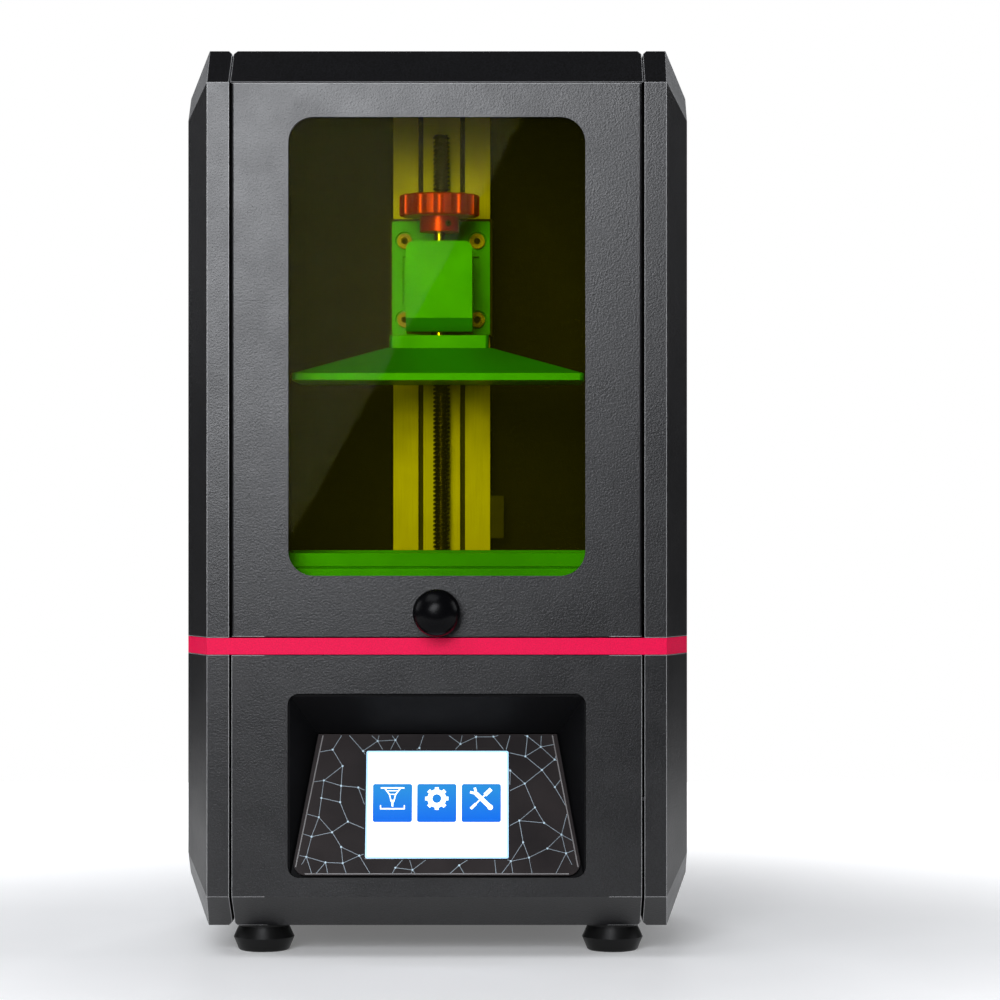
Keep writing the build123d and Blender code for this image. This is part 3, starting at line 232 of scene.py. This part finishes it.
def tinted_pane(name, tint, gloss_rough=0.04, haze=0.004, gloss=0.05):
    """Thin coloured see-through sheet: light takes the tint as it passes, and the faces still shine."""
    material, tree, shader = new_material(name)
    tree.nodes.remove(shader)
    output = tree.nodes["Material Output"]
    clear = tree.nodes.new("ShaderNodeBsdfTransparent")
    deep, pale = shaded(tint, 0.03)
    link(tree, blend_colours(tree, noise(tree, 14, 3), deep, pale), clear.inputs["Color"])
    shine = tree.nodes.new("ShaderNodeBsdfGlossy")
    link(tree, spread(tree, noise(tree, 90, 4), gloss_rough * 0.7, gloss_rough * 1.6),
         shine.inputs["Roughness"])
    milk = tree.nodes.new("ShaderNodeBsdfDiffuse")
    milk.inputs["Color"].default_value = (*tint, 1)
    fresnel = tree.nodes.new("ShaderNodeFresnel")
    fresnel.inputs["IOR"].default_value = 1.49
    hazed = tree.nodes.new("ShaderNodeMixShader")
    hazed.inputs["Fac"].default_value = haze
    link(tree, clear.outputs["BSDF"], hazed.inputs[1])
    link(tree, milk.outputs["BSDF"], hazed.inputs[2])
    whole = tree.nodes.new("ShaderNodeMixShader")
    link(tree, calculate(tree, "MULTIPLY", fresnel.outputs["Fac"], gloss), whole.inputs["Fac"])
    link(tree, hazed.outputs["Shader"], whole.inputs[1])
    link(tree, shine.outputs["BSDF"], whole.inputs[2])
    link(tree, whole.outputs["Shader"], output.inputs["Surface"])
    return material


def lit_material(name, colour, strength, low_colour=None):
    """Lit display surface with a faint pixel grain, or one that runs from a lower to an upper colour."""
    material, tree, shader = new_material(name)
    if low_colour:
        tone = blend_colours(tree, coordinates(tree, "Generated")["Z"], low_colour, colour, 0.1, 0.9)
    else:
        tone = blend_colours(tree, noise(tree, 2600, 1), *shaded(colour, 0.015))
    link(tree, tone, shader.inputs["Base Color"])
    link(tree, tone, shader.inputs["Emission Color"])
    link(tree, spread(tree, noise(tree, 70, 3), 0.25, 0.35), shader.inputs["Roughness"])
    shader.inputs["Specular IOR Level"].default_value = 0.05
    shader.inputs["Emission Strength"].default_value = strength
    return material


MATERIALS = {
    # The casing's pale edge colour below is a painted highlight along its folds and edges.
    "casing_paint": powder_coat("casing_paint", (0.004, 0.004, 0.005), (0.28, 0.34), speckle=0.7,
                                edge=(0.4, 0.4, 0.405)),
    "trim_red": powder_coat("trim_red", (0.8, 0.001, 0.066), (0.38, 0.45), grain=1900, speckle=0.08,
                            specular=0.14),
    "black_plate": powder_coat("black_plate", (0.003, 0.003, 0.0028), (0.5, 0.6), speckle=0.25,
                               specular=0.07),
    "gloss_black": finish_material("gloss_black", (0.002, 0.002, 0.0025), (0.22, 0.27), specular=0.08,
                                   patch=20, grain=500, grain_height=0.00001, grain_strength=0.1),
    "matte_black": finish_material("matte_black", (0.012, 0.012, 0.0125), (0.45, 0.6), specular=0.35,
                                   grain=1600),
    "foot_rubber": finish_material("foot_rubber", (0.005, 0.005, 0.005), (0.35, 0.45), specular=0.25,
                                   grain=1200),
    "window_yellow": tinted_pane("window_yellow", (0.9, 0.87, 0.055), gloss_rough=0.01, gloss=0.022),
    "console_print": finish_material("console_print", (0.011, 0.0085, 0.009), (0.34, 0.42), specular=0.06,
                                     second=(0.022, 0.017, 0.017), patch=25, grain=900,
                                     grain_height=0.00001, grain_strength=0.15),
    "display_glass": finish_material("display_glass", (0.015, 0.016, 0.018), (0.05, 0.09), patch=15,
                                     grain=300, grain_height=0.000005, grain_strength=0.1),
    "lcd_glass": finish_material("lcd_glass", (0.01, 0.01, 0.016), (0.06, 0.12), patch=15, grain=300,
                                 grain_height=0.000005, grain_strength=0.1),
    "green_anodised": finish_material("green_anodised", (0.015, 0.36, 0.17), (0.34, 0.44),
                                      metallic=0.3, specular=0.3,
                                      vary=0.08, grain=1500, grain_height=0.00002, grain_strength=0.25),
    "red_anodised": finish_material("red_anodised", (0.62, 0.035, 0.02), (0.28, 0.38), metallic=0.55,
                                    vary=0.08, grain=1300, brushed=(0.15, 0.15, 1), grain_height=0.00002),
    "bare_aluminium": finish_material("bare_aluminium", (0.56, 0.56, 0.55), (0.36, 0.46), metallic=0.2,
                                      vary=0.06, grain=1500, brushed=(1, 1, 0.03), grain_height=0.00002),
    "sheet_steel": finish_material("sheet_steel", (0.5, 0.5, 0.51), (0.28, 0.42), metallic=1.0, vary=0.1),
    "screw_steel": finish_material("screw_steel", (0.11, 0.10, 0.09), (0.26, 0.36), metallic=0.8, grain=2500),
    "polished_steel": finish_material("polished_steel", (0.55, 0.55, 0.56), (0.18, 0.28), metallic=1.0,
                                      grain=2600, brushed=(1, 1, 0.2), grain_height=0.00001),
    "nut_brass": finish_material("nut_brass", (0.70, 0.46, 0.16), (0.22, 0.32), metallic=1.0, grain=2000),
    "film_clear": tinted_pane("film_clear", (0.92, 0.93, 0.93), 0.08, gloss=0.6),
    "board_green": finish_material("board_green", (0.01, 0.12, 0.045), (0.25, 0.35), grain=700),
    "board_white": finish_material("board_white", (0.72, 0.72, 0.70), (0.35, 0.5), grain=900),
}


def crisp_edges(node, width=0.3 * MM, sharpest=28):
    """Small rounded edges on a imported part, so that its corners catch the light."""
    weld = node.modifiers.new("weld", "WELD")
    weld.merge_threshold = 0.01 * MM
    rounding = node.modifiers.new("edge", "BEVEL")
    rounding.width = width
    rounding.segments = 2
    rounding.limit_method = "ANGLE"
    rounding.angle_limit = math.radians(sharpest)
    rounding.harden_normals = True


slot_of = {entry["node"]: entry["material_slot"] for entry in frame["record"]["subparts"]}
for name, node in frame["nodes"].items():
    node.data.materials.clear()
    node.data.materials.append(MATERIALS[slot_of[name]])

# The moulded recess round the console is duller than the knobs that share its finish.
RECESS_BLACK = finish_material("recess_black", (0.003, 0.003, 0.0035), (0.55, 0.65), specular=0.08,
                               patch=20, grain=900, grain_height=0.00002, grain_strength=0.2)
frame["nodes"]["console_bezel"].data.materials[0] = RECESS_BLACK

for name in ("build_plate", "plate_roof", "socket_clamp", "platform_holder", "carriage_plate", "vat_frame"):
    crisp_edges(frame["nodes"][name])


# ---------------------------------------------------------------- pieces

def add_object(name, data):
    """New object in the scene, with its mesh, lamp or camera."""
    item = bpy.data.objects.new(name, data)
    bpy.context.scene.collection.objects.link(item)
    return item


def mesh_object(name, form, material, body):
    """Object made from a bmesh, with its material, riding on a body."""
    mesh = bpy.data.meshes.new(name)
    bmesh.ops.recalc_face_normals(form, faces=form.faces)
    form.to_mesh(mesh)
    form.free()
    piece = add_object(name, mesh)
    mesh.materials.append(material)
    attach(piece, body)
    return piece


THREAD_PITCH = 2 * MM
THREAD_STARTS = 2
THREAD_DEPTH = 1.15 * MM
# Shares of the pitch: half of the thread's root, and the flank beside it.
HALF_ROOT = 0.14
FLANK = 0.18
SCREW_TIP = 0.8 * MM


def thread_reach(radius, z, angle, top):
    """Distance of the thread's surface from the screw's axis, at a height and an angle."""
    phase = (z / THREAD_PITCH - THREAD_STARTS * angle / (2 * math.pi)) % 1
    rise = min(1, max(0, (abs(phase - 0.5) - HALF_ROOT) / FLANK))
    reach = radius - THREAD_DEPTH * (1 - rise)
    if z > top - SCREW_TIP:
        reach = min(reach, radius - (z - top + SCREW_TIP))
    return reach


def threaded_screw(around=32, rows_per_pitch=8):
    """Two-start trapezoidal thread over the whole lead screw, with a bevelled tip."""
    low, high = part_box("lead_screw")
    axis = (low + high) / 2
    radius = (high.x - low.x) / 2
    rows = int((high.z - low.z) / (THREAD_PITCH / rows_per_pitch))
    form = bmesh.new()
    rings = []
    for row in range(rows + 1):
        z = low.z + (high.z - low.z) * row / rows
        ring = []
        for corner in range(around):
            angle = 2 * math.pi * corner / around
            reach = thread_reach(radius, z, angle, high.z)
            spot = (axis.x + reach * math.cos(angle), axis.y + reach * math.sin(angle), z)
            ring.append(form.verts.new(spot))
        rings.append(ring)
    for below, above in zip(rings, rings[1:]):
        for corner in range(around):
            after = (corner + 1) % around
            form.faces.new((below[corner], below[after], above[after], above[corner]))
    form.faces.new(list(reversed(rings[0])))
    form.faces.new(rings[-1])
    oiled = finish_material("oiled_steel", (0.045, 0.04, 0.038), (0.2, 0.28), metallic=0.7, grain=2600,
                            grain_height=0.00001)
    piece = mesh_object("lead_screw_thread", form, oiled, "lead_screw")
    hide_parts("lead_screw")


threaded_screw()


def add_box(form, low, high):
    """Closed box between two corners."""
    corners = [(x, y, z) for x in (low[0], high[0]) for y in (low[1], high[1]) for z in (low[2], high[2])]
    verts = [form.verts.new(corner) for corner in corners]
    for face in ((0, 1, 3, 2), (4, 6, 7, 5), (0, 4, 5, 1), (2, 3, 7, 6), (0, 2, 6, 4), (1, 5, 7, 3)):
        form.faces.new([verts[corner] for corner in face])


def rail_groove_painted_shade(groove_at=9.85 * MM, half_width=1.19 * MM, depth=3 * MM, top=0.26 * MM,
                       bottom=0.02 * MM):
    """Dark strips of painted shade over the floors of the two long grooves of the rail; top and bottom are
    heights.
    """
    low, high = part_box("z_rail")
    form = bmesh.new()
    for side in (-1, 1):
        near = (side * groove_at - half_width, low.y + depth - top, low.z + MM)
        far = (side * groove_at + half_width, low.y + depth - bottom, high.z - MM)
        add_box(form, near, far)
    mesh_object("rail_groove_painted_shade", form, MATERIALS["matte_black"], "root")


rail_groove_painted_shade()


def cap_screw_socket_shade(radius=1.5 * MM, head=3.5 * MM, sunk=0.4 * MM, bottom=2 * MM):
    """Dark six-sided blocks in the sockets of the carriage's four cap screws: painted shade for the hollow of
    each socket.
    """
    low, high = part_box("carriage_screws")
    form = bmesh.new()
    for x in (low.x + head, high.x - head):
        for z in (low.z + head, high.z - head):
            rings = []
            for y in (low.y + sunk, low.y + bottom):
                turns = [math.pi / 3 * corner for corner in range(6)]
                rings.append([form.verts.new((x + radius * math.cos(turn), y, z + radius * math.sin(turn)))
                              for turn in turns])
            form.faces.new(rings[0])
            form.faces.new(list(reversed(rings[1])))
            for corner in range(6):
                after = (corner + 1) % 6
                form.faces.new((rings[0][corner], rings[0][after], rings[1][after], rings[1][corner]))
    mesh_object("cap_screw_socket_shade", form, MATERIALS["matte_black"], "carriage")


cap_screw_socket_shade()


# ---------------------------------------------------------------- display and console print

def console_axes():
    """Middle of the display's face, and unit vectors to the right, up the slope and out of it."""
    low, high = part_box("display_glass")
    glass = frame["nodes"]["display_glass"].data
    sloping = [face for face in glass.polygons if face.normal.z > 0.1 and face.normal.y < -0.1]
    outward = max(sloping, key=lambda face: face.area).normal
    right = Vector((1, 0, 0))
    up = outward.cross(right).normalized()
    face = max(glass.vertices, key=lambda v: v.co.dot(outward)).co
    middle = Vector(((low.x + high.x) / 2, (low.y + high.y) / 2, (low.z + high.z) / 2))
    middle += outward * (face - middle).dot(outward)
    return middle, right, up, outward.normalized()


MIDDLE, RIGHT, UP, OUT = console_axes()


def on_console(across, along, off=0.0):
    """Point on the console's slope from offsets in millimetres, measured from the display's middle."""
    return MIDDLE + RIGHT * across * MM + UP * along * MM + OUT * off * MM


def rounded_outline(width, height, radius, middle=(0, 0), steps=6):
    """Corner points of a rounded rectangle, in millimetres."""
    points = []
    for quarter, (sx, sy) in enumerate(((1, 1), (-1, 1), (-1, -1), (1, -1))):
        for step in range(steps + 1):
            angle = math.pi / 2 * (quarter + step / steps)
            points.append((middle[0] + sx * (width / 2 - radius) + radius * math.cos(angle),
                           middle[1] + sy * (height / 2 - radius) + radius * math.sin(angle)))
    return points


def add_slab(form, outline, low, high):
    """Thin closed slab on the console's slope with a given outline, between two offsets."""
    bottom = [form.verts.new(on_console(x, y, low)) for x, y in outline]
    top = [form.verts.new(on_console(x, y, high)) for x, y in outline]
    form.faces.new(list(reversed(bottom)))
    form.faces.new(top)
    for i in range(len(outline)):
        j = (i + 1) % len(outline)
        form.faces.new((bottom[i], bottom[j], top[j], top[i]))


def slab_piece(name, outlines, low, high, material):
    """Piece of several slabs on the console's slope, all between two offsets."""
    form = bmesh.new()
    for outline in outlines:
        add_slab(form, outline, low, high)
    mesh_object(name, form, material, "root")


def bar(start, end, width):
    """Outline of a straight bar between two points."""
    along = (Vector(end) - Vector(start)).normalized()
    side = Vector((-along.y, along.x)) * width / 2
    return [tuple(Vector(start) + side), tuple(Vector(start) - side), tuple(Vector(end) - side),
            tuple(Vector(end) + side)]


def round_outline(middle, radius, steps=8):
    """Corner points of a small round, in millimetres."""
    turns = [2 * math.pi * step / steps for step in range(steps)]
    return [(middle[0] + radius * math.cos(turn), middle[1] + radius * math.sin(turn)) for turn in turns]


def print_sign(x, y):
    """A hanging cone of printed layers over a tray."""
    signs = [bar((x - 5.2, y + 4.8), (x + 5.2, y + 4.8), 0.6)]
    for side in (-1, 1):
        signs.append(bar((x + side * 3.4, y + 4.6), (x + side * 1.4, y + 1.9), 0.55))
        signs.append(bar((x + side * 1.4, y + 2.1), (x + side * 0.5, y - 1.6), 0.5))
        signs.append(bar((x + side * 5.2, y - 3), (x + side * 5.2, y - 4.6), 0.5))
    signs.append(bar((x - 2.5, y + 3.5), (x + 2.5, y + 3.5), 0.4))
    signs.append(bar((x - 1.4, y + 1.9), (x + 1.4, y + 1.9), 0.4))
    signs.append(bar((x, y - 0.6), (x, y - 3.6), 0.8))
    signs.append(bar((x - 5.4, y - 4.6), (x + 5.4, y - 4.6), 0.6))
    return signs


def gear_sign(x, y, teeth=8, ring_parts=24):
    """A toothed wheel with a round eye."""
    signs = []
    for tooth in range(teeth):
        turn = 2 * math.pi * tooth / teeth
        near = (x + 3 * math.cos(turn), y + 3 * math.sin(turn))
        far = (x + 5.1 * math.cos(turn), y + 5.1 * math.sin(turn))
        signs.append(bar(near, far, 1.7))
    for part in range(ring_parts):
        turn = 2 * math.pi * part / ring_parts
        after = turn + 1.5 * 2 * math.pi / ring_parts
        start = (x + 3.1 * math.cos(turn), y + 3.1 * math.sin(turn))
        end = (x + 3.1 * math.cos(after), y + 3.1 * math.sin(after))
        signs.append(bar(start, end, 2.1))
    return signs


def tools_sign(x, y):
    """An open spanner and a screwdriver, crossed."""
    signs = [bar((x - 2.2, y + 2.2), (x + 3.9, y - 3.9), 1.9)]
    signs.append(bar((x - 4.9, y + 2.9), (x - 1.8, y + 2.1), 1.1))
    signs.append(bar((x - 2.9, y + 4.9), (x - 2.1, y + 1.8), 1.1))
    signs.append(round_outline((x + 3.9, y - 3.9), 1.25, 12))
    signs.append(bar((x + 1.2, y + 1.9), (x + 3.7, y + 4.4), 0.7))
    signs.append(bar((x + 1.9, y + 1.2), (x + 4.4, y + 3.7), 0.7))
    signs.append(bar((x + 3.4, y + 4.6), (x + 4.6, y + 3.4), 0.8))
    signs.append(bar((x + 1.7, y + 1.7), (x - 2.8, y - 2.8), 0.6))
    signs.append(bar((x - 2.4, y - 2.4), (x - 4.6, y - 4.6), 1.2))
    return signs


def display_pieces(tile_size=17.2, thickness_seen=0.9):
    """Lit display: pale blue border, white field and three blue tiles with plain picture signs."""
    low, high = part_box("display_glass")
    width = (high.x - low.x) / MM
    height = (high.z - low.z) / UP.z / MM - thickness_seen
    border = lit_material("display_border", (0.42, 0.68, 0.92), 0.55)
    white = lit_material("display_white", (0.92, 0.94, 0.95), 0.8)
    blue = lit_material("display_blue", (0.012, 0.19, 0.5), 0.5, low_colour=(0.0, 0.11, 0.56))
    slab_piece("display_border", [rounded_outline(width - 0.3, height - 0.3, 0.8)], -0.2, 0.05, border)
    slab_piece("display_field", [rounded_outline(width - 2, height - 2, 0.5)], -0.1, 0.10, white)
    tiles = [(-19.6, 0.6), (-0.2, 0.6), (19.3, 0.6)]
    outlines = [rounded_outline(tile_size, tile_size, 1, tile) for tile in tiles]
    slab_piece("display_tiles", outlines, 0.0, 0.15, blue)
    signs = (("print", print_sign), ("gear", gear_sign), ("tools", tools_sign))
    for (x, y), (name, sign) in zip(tiles, signs):
        slab_piece(f"display_sign_{name}", sign(x, y + 2), 0.1, 0.2, white)


display_pieces()


def printed_area(below=1.4, above=0.6, beside=0.9, narrowing=10.9, glass_gap=0.4, corner=4):
    """Test of a point on the console's slope for lying on the printed part of the plate, off the display.

    Returned with it: half of the print's width at its lower and upper rim, and the two rims' offsets.
    """
    low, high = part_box("console_plate")
    glass_low, glass_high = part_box("display_glass")
    bottom = (low.z - MIDDLE.z) / UP.z / MM + below
    top = (high.z - MIDDLE.z) / UP.z / MM - above
    half_low = high.x / MM - beside
    half_high = half_low - narrowing
    glass_half = (glass_high.x - glass_low.x) / 2 / MM + glass_gap
    glass_up = (glass_high.z - glass_low.z) / UP.z / 2 / MM

    def on_plate(point):
        x, y = point
        half = half_low + (half_high - half_low) * (y - bottom) / (top - bottom)
        in_corner = y < bottom + corner and abs(x) > half - corner
        beside_glass = abs(x) > glass_half or abs(y) > glass_up
        return bottom < y < top and abs(x) < half and beside_glass and not in_corner

    return on_plate, half_low, half_high, bottom, top


def scattered_points(half_width, bottom, top, spacing=7.2, margin=6, tries=6000):
    """Points strewn over the plate and a little past it, none nearer to another than the spacing."""
    draw = random.Random(11)
    points = []
    for _ in range(tries):
        spot = (draw.uniform(-half_width - margin, half_width + margin),
                draw.uniform(bottom - margin, top + margin))
        if all(math.dist(spot, point) > spacing for point in points):
            points.append(spot)
    return points


def joined_pairs(points, links=3, longest=17):
    """Each point with its nearest neighbours, every pair once."""
    pairs = []
    for index, point in enumerate(points):
        near = sorted((math.dist(point, other), j) for j, other in enumerate(points) if j != index)
        for gap, j in near[:links]:
            if gap <= longest and (j, index) not in pairs:
                pairs.append((index, j))
    return pairs


def seen_stretches(start, end, test, parts=60, shortest=0.5):
    """Ends of each stretch of a line on which the test holds."""
    shares = [part / parts for part in range(parts + 1)]
    spots = [tuple(near + (far - near) * share for near, far in zip(start, end)) for share in shares]
    runs = [list(run) for seen, run in itertools.groupby(spots, key=test) if seen]
    return [(run[0], run[-1]) for run in runs if math.dist(run[0], run[-1]) > shortest]


def console_network(line=0.26, dot=0.46, rim_highlight_width=0.5, cut_across=4, cut_up=3):
    """Printed network of fine lines and dots over the console plate, cut off at its rim and the display; pale
    bars along its rims are a painted edge highlight.
    """
    on_plate, half_low, half_high, bottom, top = printed_area()
    points = scattered_points(half_low, bottom, top)
    outlines = []
    for i, j in joined_pairs(points):
        outlines += [bar(start, end, line) for start, end in seen_stretches(points[i], points[j], on_plate)]
    lines = finish_material("console_lines", (0.17, 0.22, 0.26), (0.3, 0.4), grain=900, vary=0.3)
    slab_piece("console_network", outlines, -0.02, 0.03, lines)
    # Pale bars along the plate's slanted rims and its lower rim: a painted edge highlight.
    rim = [bar((side * half_low, bottom + cut_up), (side * half_high, top), rim_highlight_width) for side in (-1, 1)]
    rim.append(bar((-half_low + cut_across, bottom), (half_low - cut_across, bottom), rim_highlight_width))
    edge = finish_material("console_rim_highlight", (0.13, 0.12, 0.12), (0.35, 0.45), grain=900, vary=0.2)
    slab_piece("console_rim_highlight", rim, -0.02, 0.03, edge)
    dots = [round_outline(point, dot) for point in points if on_plate(point)]
    bright = finish_material("console_dots", (0.42, 0.58, 0.68), (0.3, 0.4), grain=900, vary=0.15)
    slab_piece("console_dots", dots, -0.02, 0.05, bright)


console_network()


# ---------------------------------------------------------------- camera, floor and light

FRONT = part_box("front_panel")[0].y


def front_camera(distance=1.5, height=0.2, aside=0.0275, view_width=0.4348, sensor=36):
    """Camera square to the front; view_width is how much of the front's plane it sees."""
    data = bpy.data.cameras.new("camera")
    data.sensor_width = sensor
    data.lens = sensor * distance / view_width
    camera = add_object("camera", data)
    camera.location = (aside, FRONT - distance, height)
    camera.rotation_euler = (math.radians(90), 0, 0)
    bpy.context.scene.camera = camera


front_camera()


def floor(half_width=0.62, near=-0.45, far=0.85, margin=0.45, glow_under=0.15, glow_at_rim=0.8):
    """Pale floor whose rim glows, so that it runs out into the white room without an edge."""
    form = bmesh.new()
    corners = [(-half_width, near), (half_width, near), (half_width, far), (-half_width, far)]
    form.faces.new([form.verts.new((x, y, 0)) for x, y in corners])
    mesh = bpy.data.meshes.new("floor")
    form.to_mesh(mesh)
    form.free()
    stage = add_object("floor", mesh)
    material = finish_material("floor_paper", (0.86, 0.86, 0.86), (0.8, 0.9), vary=0.01, specular=0.1,
                               grain=200, grain_height=0.00001, grain_strength=0.1)
    tree = material.node_tree
    shader = tree.nodes["Principled BSDF"]
    place = tree.nodes.new("ShaderNodeTexCoord")
    spot = tree.nodes.new("ShaderNodeVectorMath")
    spot.operation = "LENGTH"
    link(tree, place.outputs["Object"], spot.inputs[0])
    glow = tree.nodes.new("ShaderNodeMapRange")
    glow.interpolation_type = "SMOOTHSTEP"
    glow.inputs["From Min"].default_value = half_width - margin
    glow.inputs["From Max"].default_value = half_width
    glow.inputs["To Min"].default_value = glow_under
    glow.inputs["To Max"].default_value = glow_at_rim
    link(tree, spot.outputs["Value"], glow.inputs["Value"])
    shader.inputs["Emission Color"].default_value = (1, 1, 1, 1)
    link(tree, glow.outputs["Result"], shader.inputs["Emission Strength"])
    mesh.materials.append(material)


floor()


def card(name, place, target, size, power, turn=0, colour=(0.94, 0.96, 1.0)):
    """Soft rectangular light aimed at a point."""
    data = bpy.data.lights.new(name, "AREA")
    data.shape = "RECTANGLE"
    data.size, data.size_y = size
    data.energy = power
    data.color = colour
    lamp = add_object(name, data)
    lamp.location = place
    aim = (Vector(target) - Vector(place)).to_track_quat("-Z", "Y")
    lamp.rotation_euler = (aim @ Quaternion((0, 0, -1), math.radians(turn))).to_euler()


# Soft sheen down the upper front, an even high light, one soft card for the back and one for each side, and
# faint rim lights behind for the slanted corners. Powers are in watts, places in metres.
card("sheen", (-0.23, FRONT - 1.5, 0.67), (-0.23, FRONT, 0.67), (0.62, 0.8), 19, turn=29)
card("overhead", (-0.5, FRONT - 0.9, 1.9), (0, FRONT, 0.2), (1.4, 1.0), 12)
card("rear", (0, 1.7, 0.75), (0, 0, 0.35), (0.8, 0.9), 14)
for side in (-1, 1):
    card(f"flank{side}", (side * 1.6, -0.1, 0.75), (0, 0, 0.3), (0.8, 0.8), 6)
    card(f"rim{side}", (side * 0.62, 1.0, 0.55), (side * 0.1, 0, 0.38), (0.3, 0.5), 0.4)


def white_room(seen=1.0, lighting=0.06):
    """White surroundings that light the object only a little."""
    world = bpy.data.worlds.new("room")
    world.use_nodes = True
    tree = world.node_tree
    path = tree.nodes.new("ShaderNodeLightPath")
    level = tree.nodes.new("ShaderNodeMapRange")
    level.inputs["To Min"].default_value = lighting
    level.inputs["To Max"].default_value = seen
    link(tree, path.outputs["Is Camera Ray"], level.inputs["Value"])
    background = tree.nodes["Background"]
    background.inputs["Color"].default_value = (1, 1, 1, 1)
    link(tree, level.outputs["Result"], background.inputs["Strength"])
    bpy.context.scene.world = world


white_room()
bpy.context.scene.view_settings.view_transform = "Standard"
